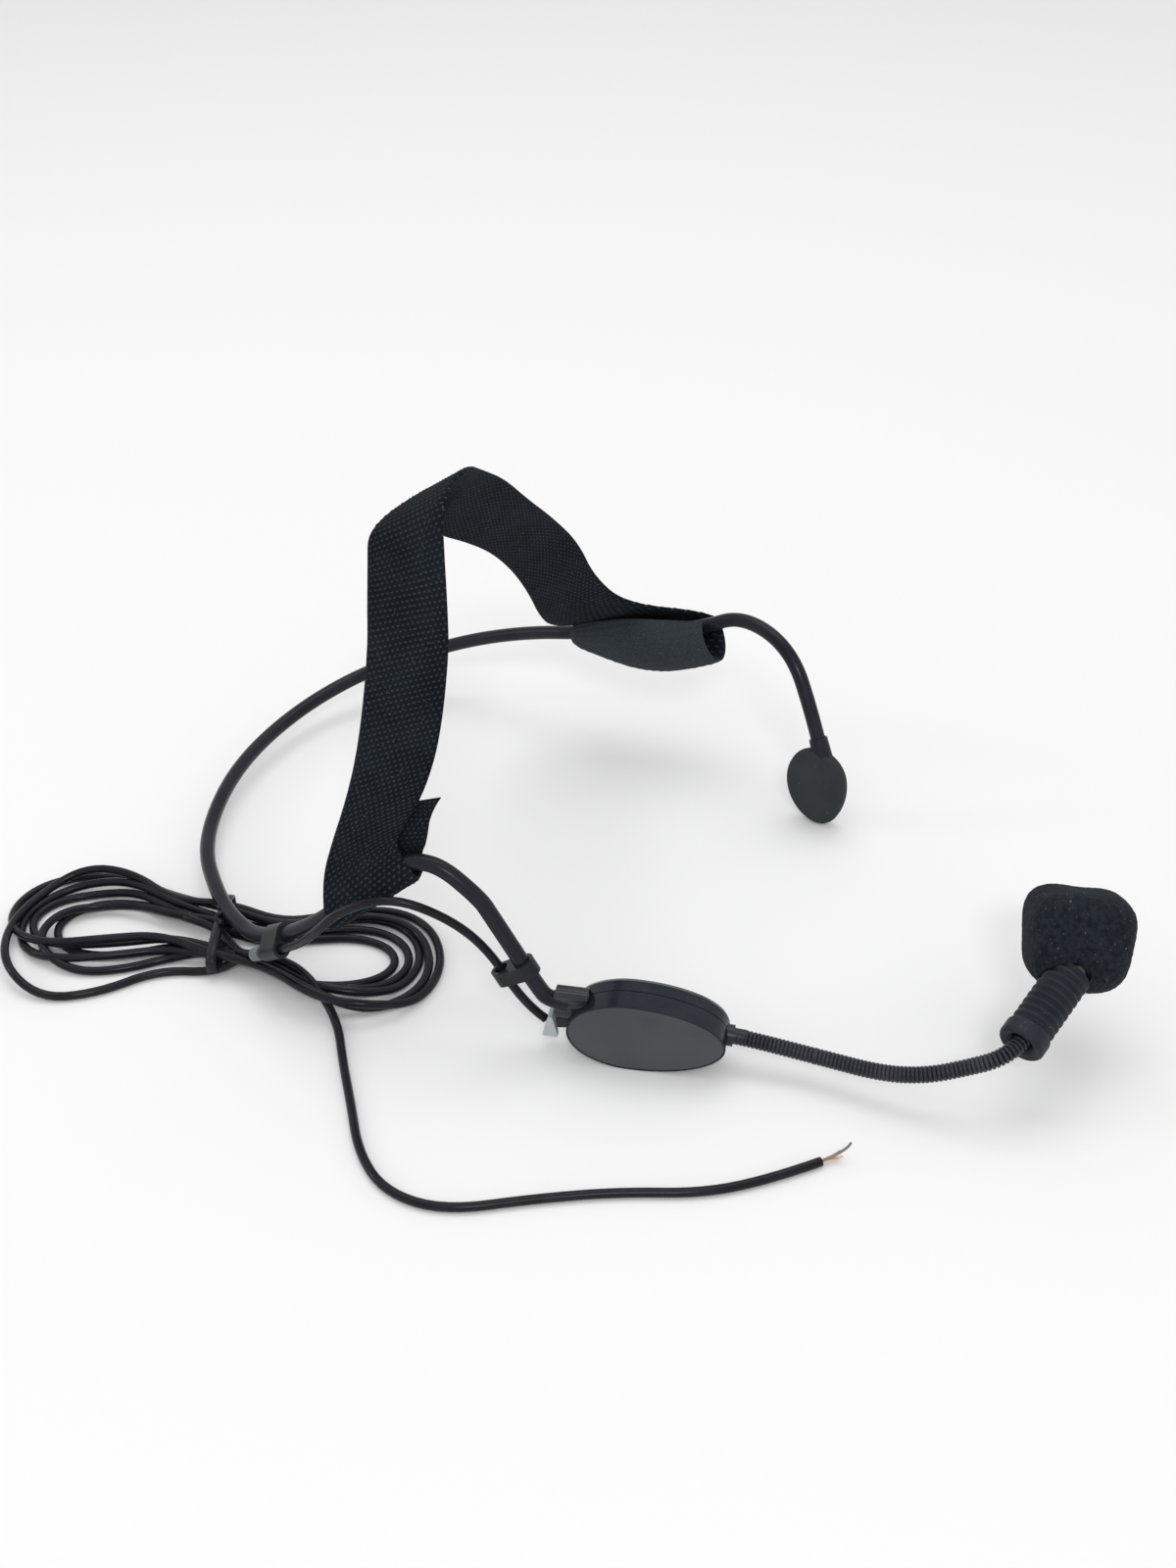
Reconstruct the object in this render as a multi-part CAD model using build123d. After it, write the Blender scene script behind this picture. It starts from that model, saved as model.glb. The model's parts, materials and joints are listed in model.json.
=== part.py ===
"""Behind-the-neck headset microphone with a head strap, a gooseneck boom and a loose cord.

Millimetres. +Z is up from the table that the headset rests on, +X is the wearer's forward
direction, +Y is the wearer's left. The origin is under the middle of the headset.
"""

import os
from math import cos, pi, radians, sin, tan

from build123d import *

# ---------------------------------------------------------------- driving dimensions

# Neckband: vinyl tube over a spring wire
BAND_R = 2.3
BAND_BORE_R = 0.95
WIRE_R = 0.9

# Cord
CORD_R = 1.25

# Egg-shaped housing on the wearer's right cheek
HOUSING_CENTRE = Vector(44, -53, 11.2)
HOUSING_YAW = 25
EGG_REAR = 17.5
EGG_FRONT = 25.5
EGG_HALF_HEIGHT = 11.2
EGG_WIDEST_X = -4.0
HOUSING_DEPTH = 13.0
FRONT_SHELL_DEPTH = 6.3
SEAM_GAP = 0.3
LIP_REACH = 0.9
SHELL_WALL = 1.5
COVER_THICK = 1.4
COVER_PROUD = 0.4

# Gooseneck boom
GOOSE_R = 2.2
GOOSE_BORE_R = 1.1
LEAD_R = 0.72
BALL_R = 2.2
SOCKET_R = 2.5
LEAD_SETBACK = 4.0

# Microphone
SLEEVE_LENGTH = 25.0
SLEEVE_R = 5.2
SLEEVE_RIB_R = 5.7
SLEEVE_COLLAR_R = 6.2
CAPSULE_R = 4.4
CAPSULE_LENGTH = 12.0
CAPSULE_START = 19.0
FOAM_SIZE = (28.0, 24.0, 27.0)
FOAM_ROUND = 8.0
FOAM_GRIP = 3.0

# Ear pad
PAD_HALF_HEIGHT = 13.5
PAD_HALF_WIDTH = 9.8
PAD_THICK = 5.0
PAD_NECK_R = 3.4

# Strap
STRAP_WIDTH = 25.0
STRAP_THICK = 1.4
LOOP_BORE_R = 2.7
LOOP_R = 3.9
LOOP_MOUTH_R = 6.0

# Cable clips
CLIP_WALL = 1.0
CLIP_TUBE_BORE_R = BAND_R + 0.06
FRONT_CLIP_LENGTH = 4.4
REAR_CLIP_LENGTH = 8.0

# Hank of cord and its tie
HANK_THICK = 5.5
TIE_WIDTH = 3.0
TIE_WALL = 0.8

# ---------------------------------------------------------------- routes

# Neckband, from the housing round the back of the head to the ear pad, with bend radii
BAND = [
    ((22.6, -58, 17.4), None),
    ((17, -61, 18.5), 9),
    ((0, -66, 48), 16),
    ((-13, -69, 57), 11),
    ((-24, -73, 52.5), 11),
    ((-43, -84, 30), 16),
    ((-68, -82, 12.5), 26),
    ((-83, -77.5, 9.5), 40),
    ((-97, -70.5, 8.6), 60),
    ((-117, -56, 7.8), 55),
    ((-133, -32, 7.8), 60),
    ((-142, -8, 8.2), 60),
    ((-144.5, 19, 9.6), 50),
    ((-139, 43, 12.8), 32),
    ((-127, 58, 17), 36),
    ((-110, 69, 24), 50),
    ((-88, 74, 32), 70),
    ((-67, 75.5, 38), 60),
    ((-27, 84.5, 48.5), 25),
    ((-13, 87.5, 57), 11),
    ((8, 82.5, 54), 18),
    ((20, 77.5, 36), 30),
    ((25.5, 75, 25), None),
]
NEAR_ARM = (1, 2)
NEAR_LOOP = (4, 5)
REAR_RUN = (5, 6)
FAR_LOOP = (17, 18)

FRONT_CLIP_AT = 10.5
REAR_CLIP_AT = 19.5
NEAR_LOOP_SPAN = (6.5, 29.5)
FAR_LOOP_SPAN = (4.5, 38.0)

# Cord from the housing through both clips and down to the hank
LEAD_ROUTE = [
    (16, -59.6, 9.4),
    (11, -62.3, 14.2),
    (2.2, -66.4, 32.4),
    (-7, -71.5, 42),
    (-19.5, -79, 48),
    (-31.5, -85.5, 42.5),
    (-39.5, -88.5, 32.5),
    (-47.5, -87.6, 23.6),
    (-70.1, -85.8, 7.8),
    (-78, -83.3, 4.4),
]
# Cord from the hank over the table to its stripped end
TAIL_ROUTE = [
    (-51, -75, 1.25),
    (-36.5, -86, 1.25),
    (-24, -98, 1.25),
    (-12, -108.5, 1.25),
    (1, -120.5, 1.25),
    (15, -127, 1.25),
    (31, -123.5, 1.25),
    (47, -107.5, 1.25),
    (63, -93.5, 1.25),
    (81, -81.5, 1.25),
    (93, -66.5, 1.25),
    (99.5, -55.5, 1.25),
]
FREE_CORD_SHARE = 0.45

# Outline of the hank seen from above: two lobes with a waist where it is tied
HANK_OUTLINE = [
    (-30, -57),
    (-51, -51),
    (-74, -58),
    (-97, -71),
    (-127, -77),
    (-145, -90),
    (-139, -113),
    (-117, -123),
    (-93, -112),
    (-71, -92),
    (-44, -84),
    (-27, -73),
]
TIE_ENDS = ((-97.5, -70.5), (-72.5, -93.5))

# Boom: hinge points of the gooseneck, with the bend between each pair
BOOM_ROOT = Vector(59.8, -37.6, 10.2)
BOOM_HINGES = [Vector(64.4, -35.5, 9.8), Vector(101, -26.2, 9.4), Vector(120.5, -18, 16)]
BOOM_BENDS = [Vector(83, -29.2, 8.2), Vector(112, -23, 12.4), Vector(127.3, -14.4, 19.8)]
TIP_BEND_RADII = [7, 5]
MIC_FOOT = Vector(130, -8, 22)
MIC_AXIS = Vector(0.08, 0.955, 0.285).normalized()
FOAM_CENTRE = Vector(130.2, 27.8, 32.4)
FOAM_UP = Vector(-0.17, 0.42, 0.86).normalized()
FOAM_SIDE = Vector(0.82, 0.57, 0)

PAD_CENTRE = Vector(25.3, 74, 13.6)
PAD_YAW = 8

# Strap centre line from the right ear over the crown to the left ear,
# with the direction across the strap at each station
STRAP = [
    ((-33.5, -74, 51.5), (0.75, 0.33, 0.55)),
    ((-31, -69.5, 60.5), (0.86, 0.28, 0.45)),
    ((-29.5, -64.5, 69.0), (0.90, 0.25, 0.36)),
    ((-30, -57.5, 83.0), (0.93, 0.22, 0.29)),
    ((-33.5, -49, 103.0), (0.95, 0.18, 0.25)),
    ((-38.5, -43.5, 122.0), (0.97, 0.10, 0.20)),
    ((-41, -35, 130.5), (0.99, 0.02, 0.12)),
    ((-41.5, -17, 133.0), (0.99, 0.00, 0.14)),
    ((-41.5, 1, 129.5), (0.93, 0.02, 0.36)),
    ((-45, 17, 110.0), (0.72, 0.00, 0.69)),
    ((-49, 35, 87.0), (0.55, 0.02, 0.83)),
    ((-51.5, 55, 64.0), (0.72, 0.10, 0.68)),
    ((-51, 72, 48.0), (0.90, 0.21, 0.36)),
]
STRAP_TAPER = [0.3, 0.75, 1, 1, 1, 1, 1, 1, 1, 1, 1, 1, 0.4]

# ---------------------------------------------------------------- helpers

UPWARDS = (Align.CENTER, Align.CENTER, Align.MIN)


def points_of(band):
    """The corner points of the neckband as vectors."""
    return [Vector(*point) for point, radius in band]


def along(run, distance):
    """A point on one straight run of the neckband, and the run's direction."""
    corners = points_of(BAND)
    start, end = corners[run[0]], corners[run[1]]
    direction = (end - start).normalized()
    return start + direction * distance, direction


def free_radii(route):
    """The largest gentle bend at each inner corner of a cord's route."""
    corners = [Vector(*point) for point in route]
    radii = []
    for before, corner, after in zip(corners, corners[1:], corners[2:]):
        arriving, leaving = corner - before, after - corner
        half_turn = radians(arriving.get_angle(leaving)) / 2
        shorter = min(arriving.length, leaving.length)
        radii.append(FREE_CORD_SHARE * shorter / tan(half_turn))
    return radii


def tube(path, radius, bore=0.0):
    """A round tube or rod along a path of lines and arcs."""
    start = Plane(origin=path @ 0, z_dir=path % 0)
    outer = sweep(start * Circle(radius), path=path)
    if not bore:
        return outer
    return outer - sweep(start * Circle(bore), path=path)


def rod(start, end, radius):
    """A straight round rod between two points."""
    axis = end - start
    return Plane(origin=start, z_dir=axis) * Cylinder(radius, axis.length, align=UPWARDS)


def cone(start, end, start_radius, end_radius):
    """A straight tapered rod between two points."""
    axis = end - start
    tapered = Cone(start_radius, end_radius, axis.length, align=UPWARDS)
    return Plane(origin=start, z_dir=axis) * tapered


def cord_tube(name, route):
    """One free length of cord, printing its bend radii and its volume against its length."""
    radii = free_radii(route)
    path = FilletPolyline(*route, radius=radii)
    solid = tube(path, CORD_R)
    filled = solid.volume / (pi * CORD_R**2 * path.length)
    print(name, "radii", [round(radius, 1) for radius in radii])
    print(name, "length", round(path.length, 1), "volume ratio", round(filled, 4))
    return solid


nodes = {}


def keep(name, shape):
    """Store one named piece."""
    shape.label = name
    nodes[name] = shape


# ---------------------------------------------------------------- housing frame

YAW = radians(HOUSING_YAW)
FORWARD = Vector(cos(YAW), sin(YAW), 0)
OUTWARD = Vector(sin(YAW), -cos(YAW), 0)
CHEEK = Plane(origin=HOUSING_CENTRE, x_dir=FORWARD, z_dir=OUTWARD)


def egg(inset=0.0):
    """The housing's egg outline, blunt towards the rear, shrunk all round by inset."""
    half = EGG_HALF_HEIGHT - inset
    centre = (EGG_WIDEST_X, 0)
    rear = EllipticalCenterArc(centre, EGG_REAR - inset, half, start_angle=90, arc_size=180)
    front = EllipticalCenterArc(centre, EGG_FRONT - inset, half, start_angle=-90, arc_size=180)
    return make_face([rear, front])


def slab(inset, low, high):
    """An egg-shaped slab between two depths measured outwards from the rim of the housing."""
    return Pos(0, 0, low) * extrude(egg(inset), high - low)


def taper_slab(low_inset, high_inset, low, high):
    """An egg-shaped slab whose outline changes from one inset to another."""
    return loft([Pos(0, 0, low) * egg(low_inset), Pos(0, 0, high) * egg(high_inset)], ruled=True)


def from_cheek(x, y, z):
    """A point given in the housing's own frame."""
    return CHEEK.from_local_coords(Vector(x, y, z))


# ---------------------------------------------------------------- neckband


def make_neckband():
    """The spring wire and its vinyl sheath."""
    corners = [point for point, radius in BAND]
    radii = [radius for point, radius in BAND if radius]
    path = FilletPolyline(*corners, radius=radii)
    print("neckband length", round(path.length, 1))
    keep("neck_sheath", tube(path, BAND_R, BAND_BORE_R))
    keep("neck_wire", tube(path, WIRE_R))


# ---------------------------------------------------------------- housing


def make_housing():
    """Both shells, the flat cover, the sockets and what the housing holds."""
    seam = -FRONT_SHELL_DEPTH
    back = -HOUSING_DEPTH
    front_shell = slab(0, seam, 0) - slab(SHELL_WALL, seam, 0)
    front_shell -= slab(0.5, COVER_PROUD - COVER_THICK, 0)
    back_outer = slab(0, back + 2.4, seam - SEAM_GAP)
    back_outer += taper_slab(0.7, 0, back + 0.8, back + 2.4)
    back_outer += taper_slab(2.3, 0.7, back, back + 0.8)
    back_shell = back_outer - slab(SHELL_WALL, back + SHELL_WALL, seam)
    lip = slab(SHELL_WALL - 0.1, seam - 2, seam - SEAM_GAP)
    lip += slab(SHELL_WALL + 0.05, seam - SEAM_GAP, seam + LIP_REACH)
    back_shell += lip - slab(SHELL_WALL + 0.75, seam - 2, seam + LIP_REACH)
    cover = slab(0.55, COVER_PROUD - COVER_THICK, 0) + taper_slab(0.55, 0.95, 0, COVER_PROUD)

    aim = (BOOM_HINGES[0] - BOOM_ROOT).normalized()
    ferrule_bore = CHEEK.location.inverse() * rod(BOOM_ROOT - aim * 5, BOOM_ROOT + aim * 5, 3.1)
    relief_bore = Pos(-22, -2.2, -7) * Rot(0, 90, 0) * Cylinder(2.2, 9)
    front_shell = front_shell - ferrule_bore - relief_bore
    back_shell = back_shell - ferrule_bore - relief_bore

    bosses = [(-11, 3.5), (11, -2.5)]
    screws = []
    for x, y in bosses:
        boss = Pos(x, y, 0) * extrude(Circle(2.5), seam - 1.5 - (back + 1))
        back_shell += Pos(0, 0, back + 1) * boss
        back_shell -= Pos(x, y, back) * extrude(Circle(1.05), HOUSING_DEPTH)
        back_shell -= Pos(x, y, back) * extrude(Circle(1.9), 1.2)
        head = Pos(x, y, back + 0.15) * extrude(Circle(1.8), 1.0)
        head -= Pos(x, y, back + 0.15) * extrude(Rectangle(2.4, 0.4), 0.5)
        head -= Pos(x, y, back + 0.15) * extrude(Rectangle(0.4, 2.4), 0.5)
        shank = Pos(x, y, back + 1.15) * extrude(Circle(1.0), 8.5)
        screws.append(head + shank)

    board = Pos(0, 0, seam + 0.95) * extrude(RectangleRounded(24, 9, 1.5), 1.0)
    for x, y in bosses:
        board -= Pos(x, y, -HOUSING_DEPTH) * extrude(Circle(1.15), HOUSING_DEPTH)
    joints = []
    for x in (-7, -4.5, 4.5, 7):
        joints.append(Pos(x, 1.6, seam + 1.95) * Cone(0.9, 0.35, 0.8, align=UPWARDS))

    keep("housing_front_shell", CHEEK * front_shell)
    keep("housing_back_shell", CHEEK * back_shell)
    keep("housing_cover", CHEEK * cover)
    keep("cover_screws", CHEEK * Compound(children=screws))
    keep("terminal_board", CHEEK * board)
    keep("solder_joints", CHEEK * Compound(children=joints))


def make_band_socket():
    """The ribbed neck that grips the end of the neckband, and fairs it into the housing."""
    core = extrude(RectangleRounded(5.6, 8.4, 2.6), 4.4, both=True)
    core = Pos(-20.6, 6.2, -5.4) * Rot(0, 90, 0) * core
    for height in (3.3, 6.3, 9.3):
        rib = fillet(Cylinder(1.45, 9.6).edges(), 0.6)
        core += Pos(-20.6, height, -3.7) * Rot(0, 90, 0) * rib
    core -= slab(0, -HOUSING_DEPTH, 0)
    corners = points_of(BAND)[:3]
    bore = tube(FilletPolyline(*corners, radius=[BAND[1][1]]), BAND_R + 0.03)
    socket = CHEEK * core - bore
    keep("band_socket", socket.solids().sort_by(SortBy.VOLUME)[-1])


def make_cord_exit():
    """The rubber grommet in the housing's tip and the pale wedge that clamps the cord."""
    start, after = Vector(*LEAD_ROUTE[0]), Vector(*LEAD_ROUTE[1])
    leaving = (after - start).normalized()
    inside = from_cheek(-20.0, -2.2, -7)
    grommet = rod(inside, inside - FORWARD * 3.2, 1.95)
    grommet += cone(inside - FORWARD * 1.4, start - leaving * 1.2, 2.1, 1.7)
    keep("cord_grommet", grommet)

    wedge = Polyline((-2.2, -3.4), (2.2, -3.4), (0.6, 3.4), (-0.6, 3.4), close=True)
    wedge = fillet(extrude(make_face(wedge), 3.5, both=True).edges().filter_by(Axis.Z), 0.4)
    wedge = CHEEK * Pos(-26.4, -1.8, -6.3) * wedge
    wedge -= rod(start - leaving * 9, start + leaving * 9, CORD_R + 0.5)
    wedge -= grommet
    keep("relief_wedge", wedge.solids().sort_by(SortBy.VOLUME)[-1])


# ---------------------------------------------------------------- boom and microphone


def make_boom():
    """The ferrule and three gooseneck lengths that turn on ball ends, each with its inner lead."""
    aim = (BOOM_HINGES[0] - BOOM_ROOT).normalized()
    ferrule = rod(BOOM_ROOT - aim * 2.5, BOOM_ROOT + aim * 2.2, 2.95)
    ferrule += rod(BOOM_ROOT - aim * 7.5, BOOM_HINGES[0], 1.5)
    ferrule += rod(BOOM_ROOT, BOOM_HINGES[0], BALL_R)
    ferrule += Pos(*BOOM_HINGES[0]) * Sphere(BALL_R)
    keep("boom_ferrule", ferrule)

    nut_plane = Plane(origin=BOOM_ROOT - aim * 6.6, z_dir=aim)
    keep("boom_nut", nut_plane * (extrude(RegularPolygon(3.4, 6), 2.0) - extrude(Circle(1.55), 2.0)))

    ends = BOOM_HINGES[1:] + [MIC_FOOT + MIC_AXIS * 5]
    for label, start, bend, end in zip(("base", "middle", "tip"), BOOM_HINGES, BOOM_BENDS, ends):
        last = label == "tip"
        route = [start, bend, MIC_FOOT, end] if last else [start, bend, end]
        radii = TIP_BEND_RADII if last else free_radii([tuple(point) for point in route])
        path = FilletPolyline(*route, radius=radii)
        neck = tube(path, GOOSE_R, GOOSE_BORE_R)
        neck -= Pos(*start) * Sphere(SOCKET_R)
        if not last:
            neck += Pos(*end) * Sphere(BALL_R)
        keep("gooseneck_" + label, neck.solids().sort_by(SortBy.VOLUME)[-1])
        aim_in = (route[1] - start).normalized()
        aim_out = (route[-1] - route[-2]).normalized()
        lead_route = [start + aim_in * LEAD_SETBACK] + route[1:-1] + [end - aim_out * LEAD_SETBACK]
        free = free_radii([tuple(point) for point in lead_route])
        lead_radii = [min(pair) for pair in zip(radii, free)]
        lead_path = FilletPolyline(*lead_route, radius=lead_radii)
        keep("boom_lead_" + label, tube(lead_path, LEAD_R))


def make_microphone():
    """The ribbed rubber sleeve, the capsule in its mouth and the foam windscreen over it."""
    mic = Plane(origin=MIC_FOOT, z_dir=MIC_AXIS)
    sleeve = Pos(0, 0, -1) * Cylinder(SLEEVE_COLLAR_R, 4.5, align=UPWARDS)
    sleeve += Pos(0, 0, 3.5) * Cone(SLEEVE_COLLAR_R, SLEEVE_R, 1.5, align=UPWARDS)
    sleeve += Pos(0, 0, 5) * Cylinder(SLEEVE_R, SLEEVE_LENGTH - 5, align=UPWARDS)
    for step in range(8):
        sleeve += Pos(0, 0, 6.2 + 2.35 * step) * Cylinder(SLEEVE_RIB_R, 1.3, align=UPWARDS)
    sleeve -= Pos(0, 0, CAPSULE_START) * Cylinder(CAPSULE_R + 0.02, 20, align=UPWARDS)
    sleeve -= Pos(0, 0, 7) * Cylinder(2.6, 20, align=UPWARDS)
    sleeve = mic * sleeve
    clear = GOOSE_R + 0.6
    neck_bore = rod(BOOM_BENDS[2], MIC_FOOT, clear) + rod(MIC_FOOT, MIC_FOOT + MIC_AXIS * 8, clear)
    neck_bore += Pos(*MIC_FOOT) * Sphere(clear)
    keep("mic_sleeve", sleeve - neck_bore)

    can = Pos(0, 0, CAPSULE_START) * Cylinder(CAPSULE_R, CAPSULE_LENGTH, align=UPWARDS)
    can -= Pos(0, 0, CAPSULE_START + 1) * Cylinder(CAPSULE_R - 0.6, CAPSULE_LENGTH, align=UPWARDS)
    keep("capsule_can", mic * can)
    top = CAPSULE_START + CAPSULE_LENGTH
    element = Pos(0, 0, CAPSULE_START + 2) * Cylinder(CAPSULE_R - 0.65, 5.5, align=UPWARDS)
    keep("capsule_element", mic * element)
    grille = Pos(0, 0, top - 1.2) * Cylinder(CAPSULE_R - 0.62, 0.8, align=UPWARDS)
    grille -= Pos(0, 0, top - 1.2) * Cylinder(0.45, 0.8, align=UPWARDS)
    for step in range(6):
        grille -= Rot(0, 0, 60 * step) * Pos(2.2, 0, top - 1.2) * Cylinder(0.45, 0.8, align=UPWARDS)
    keep("capsule_grille", mic * grille)
    ring = Pos(0, 0, top - 4) * Cylinder(CAPSULE_R + 0.8, 1.6, align=UPWARDS)
    ring -= Pos(0, 0, top - 4) * Cylinder(CAPSULE_R + 0.01, 1.6, align=UPWARDS)
    keep("capsule_ring", mic * ring)

    foam_side = FOAM_SIDE - FOAM_UP * FOAM_SIDE.dot(FOAM_UP)
    foam_plane = Plane(origin=FOAM_CENTRE, x_dir=foam_side, z_dir=FOAM_UP)
    foam = fillet(Box(*FOAM_SIZE).edges(), FOAM_ROUND)
    foam = foam_plane * foam
    mouth = SLEEVE_LENGTH - FOAM_GRIP
    entry = 12 + FOAM_GRIP + 0.3
    socket = Pos(0, 0, mouth - 12) * Cylinder(SLEEVE_RIB_R + 0.3, entry, align=UPWARDS)
    socket += Pos(0, 0, mouth) * Cylinder(CAPSULE_R + 1.1, top - mouth + 0.6, align=UPWARDS)
    keep("windscreen", (foam - mic * socket).solids().sort_by(SortBy.VOLUME)[-1])


# ---------------------------------------------------------------- ear pad


def make_ear_pad():
    """The egg-shaped rubber pad and the neck that is pushed over the end of the band."""
    yaw = radians(PAD_YAW)
    inward = Vector(sin(yaw), -cos(yaw), 0)
    face = Plane(origin=PAD_CENTRE, x_dir=Vector(cos(yaw), sin(yaw), 0), z_dir=inward)
    outline = make_face(
        [
            EllipticalCenterArc((0, 0), PAD_HALF_WIDTH, PAD_HALF_HEIGHT, start_angle=0, arc_size=180),
            EllipticalCenterArc((0, 0), PAD_HALF_WIDTH, PAD_HALF_HEIGHT, start_angle=180, arc_size=180),
        ]
    )
    pad = extrude(outline, PAD_THICK / 2, both=True)
    pad = fillet(pad.edges(), 1.9)
    pad = face * Rot(0, 0, 12) * pad
    end = Vector(*BAND[-1][0])
    before = Vector(*BAND[-2][0])
    aim = (end - before).normalized()
    bore = rod(before, end + aim * 1.0, BAND_R + 0.06)
    neck = cone(end - aim * 5.5, end + aim * 4, 2.9, PAD_NECK_R)
    neck = neck - pad - bore
    keep("ear_pad", pad - bore)
    keep("pad_neck", neck.solids().sort_by(SortBy.VOLUME)[-1])


# ---------------------------------------------------------------- strap


def make_strap():
    """The woven span over the head and the two loops closed round the neckband."""
    sections = []
    for index, ((centre, across), taper) in enumerate(zip(STRAP, STRAP_TAPER)):
        before = Vector(*STRAP[max(index - 1, 0)][0])
        after = Vector(*STRAP[min(index + 1, len(STRAP) - 1)][0])
        path = (after - before).normalized()
        side = Vector(*across)
        side = (side - path * side.dot(path)).normalized()
        plane = Plane(origin=Vector(*centre), x_dir=side, z_dir=path)
        sections.append(plane * Rectangle(STRAP_WIDTH * taper, STRAP_THICK))
    keep("strap_span", loft(sections, ruled=True))

    start, aim = along(NEAR_LOOP, NEAR_LOOP_SPAN[0])
    end, aim = along(NEAR_LOOP, NEAR_LOOP_SPAN[1])
    near = rod(start, end, LOOP_R) - rod(start, end, LOOP_BORE_R)
    keep("strap_loop_near", near)
    start, aim = along(FAR_LOOP, FAR_LOOP_SPAN[0])
    end, aim = along(FAR_LOOP, FAR_LOOP_SPAN[1])
    far = cone(start, end, LOOP_R, LOOP_MOUTH_R) - cone(start, end, LOOP_BORE_R, LOOP_MOUTH_R - 1.2)
    keep("strap_loop_far", far)


# ---------------------------------------------------------------- clips


def make_clip(name, run, distance, length, cord_run):
    """A flat rubber belt with one eye round the neckband and one round the cord."""
    centre, direction = along(run, distance)
    low, high = Vector(*LEAD_ROUTE[cord_run]), Vector(*LEAD_ROUTE[cord_run + 1])
    cord = high - low
    share = (centre - low).dot(direction) / cord.dot(direction)
    eye = low + cord * share
    slant = radians(min(cord.get_angle(direction), 180 - cord.get_angle(direction)))
    cord_bore = CORD_R + 0.35 + (length / 2 + 2.0) * tan(slant)
    back = direction * (length / 2)
    belt = Plane(origin=centre - back, x_dir=eye - centre, z_dir=direction)
    eyes = Circle(CLIP_TUBE_BORE_R + CLIP_WALL).edges()
    eyes += (Pos((eye - centre).length, 0) * Circle(cord_bore + CLIP_WALL)).edges()
    clip = belt * extrude(make_hull(eyes), length)
    reach = direction * length
    clip -= rod(centre - reach, centre + reach, CLIP_TUBE_BORE_R)
    clip -= rod(eye - reach, eye + reach, cord_bore)
    print(name, "tube", centre, "eye", eye, "axis", direction, "cord bore", round(cord_bore, 2))
    keep(name, clip)


# ---------------------------------------------------------------- cord


def make_cord():
    """The cord's three plain lengths, its grey sleeve, the tie and the stripped end."""
    outline = Spline(*HANK_OUTLINE, periodic=True)
    hank = extrude(make_face(outline), HANK_THICK)
    lead = cord_tube("lead", LEAD_ROUTE) - hank
    tail = cord_tube("tail", TAIL_ROUTE) - hank

    top, bottom = Vector(*TIE_ENDS[0], 0), Vector(*TIE_ENDS[1], 0)
    middle = (top + bottom) * 0.5
    middle += Vector(0, 0, HANK_THICK + TIE_WALL / 2)
    lie = Plane(origin=middle, x_dir=bottom - top, z_dir=(0, 0, 1))
    tie = lie * Box((bottom - top).length - 6, TIE_WIDTH, TIE_WALL)
    twist = lie * Pos(4, 0, TIE_WALL / 2) * Rot(0, 0, 40) * Box(7, 1.4, 1.2, align=UPWARDS)
    keep("hank_tie", tie + twist)
    keep("cord_hank", hank)

    entry, exit_point = Vector(*LEAD_ROUTE[7]), Vector(*LEAD_ROUTE[8])
    aim = (exit_point - entry).normalized()
    collar = exit_point - aim * 8.6
    sleeve = rod(collar, collar + aim * 4.2, CORD_R + 0.75) - rod(collar, collar + aim * 4.2, CORD_R)
    keep("cord_sleeve", sleeve)
    keep("cord_lead", lead.solids().sort_by(SortBy.VOLUME)[-1])
    keep("cord_tail", tail.solids().sort_by(SortBy.VOLUME)[-1])

    end, before = Vector(*TAIL_ROUTE[-1]), Vector(*TAIL_ROUTE[-2])
    aim = (end - before).normalized()
    keep("cord_core", rod(end, end + aim * 2.5, 0.6))


make_neckband()
make_housing()
make_band_socket()
make_cord_exit()
make_boom()
make_microphone()
make_ear_pad()
make_strap()
make_clip("front_clip", NEAR_ARM, FRONT_CLIP_AT, FRONT_CLIP_LENGTH, 1)
make_clip("rear_clip", REAR_RUN, REAR_CLIP_AT, REAR_CLIP_LENGTH, 7)
make_cord()

os.makedirs("parts", exist_ok=True)
for name, shape in nodes.items():
    export_step(shape, "parts/" + name + ".step")
print(len(nodes), "nodes")
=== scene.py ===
# %% [markdown]
# # A headworn microphone with a head strap
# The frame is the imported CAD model: its nodes already sit in the right places, in metres.
# Everything below dresses that frame. Hard parts keep their CAD shape and get a finish. The
# strap, the foam, the ear pad, the cord and its bare end, the neckband tube, the gooseneck and
# the microphone's ribbed sleeve are made again as what they really are.

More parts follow.
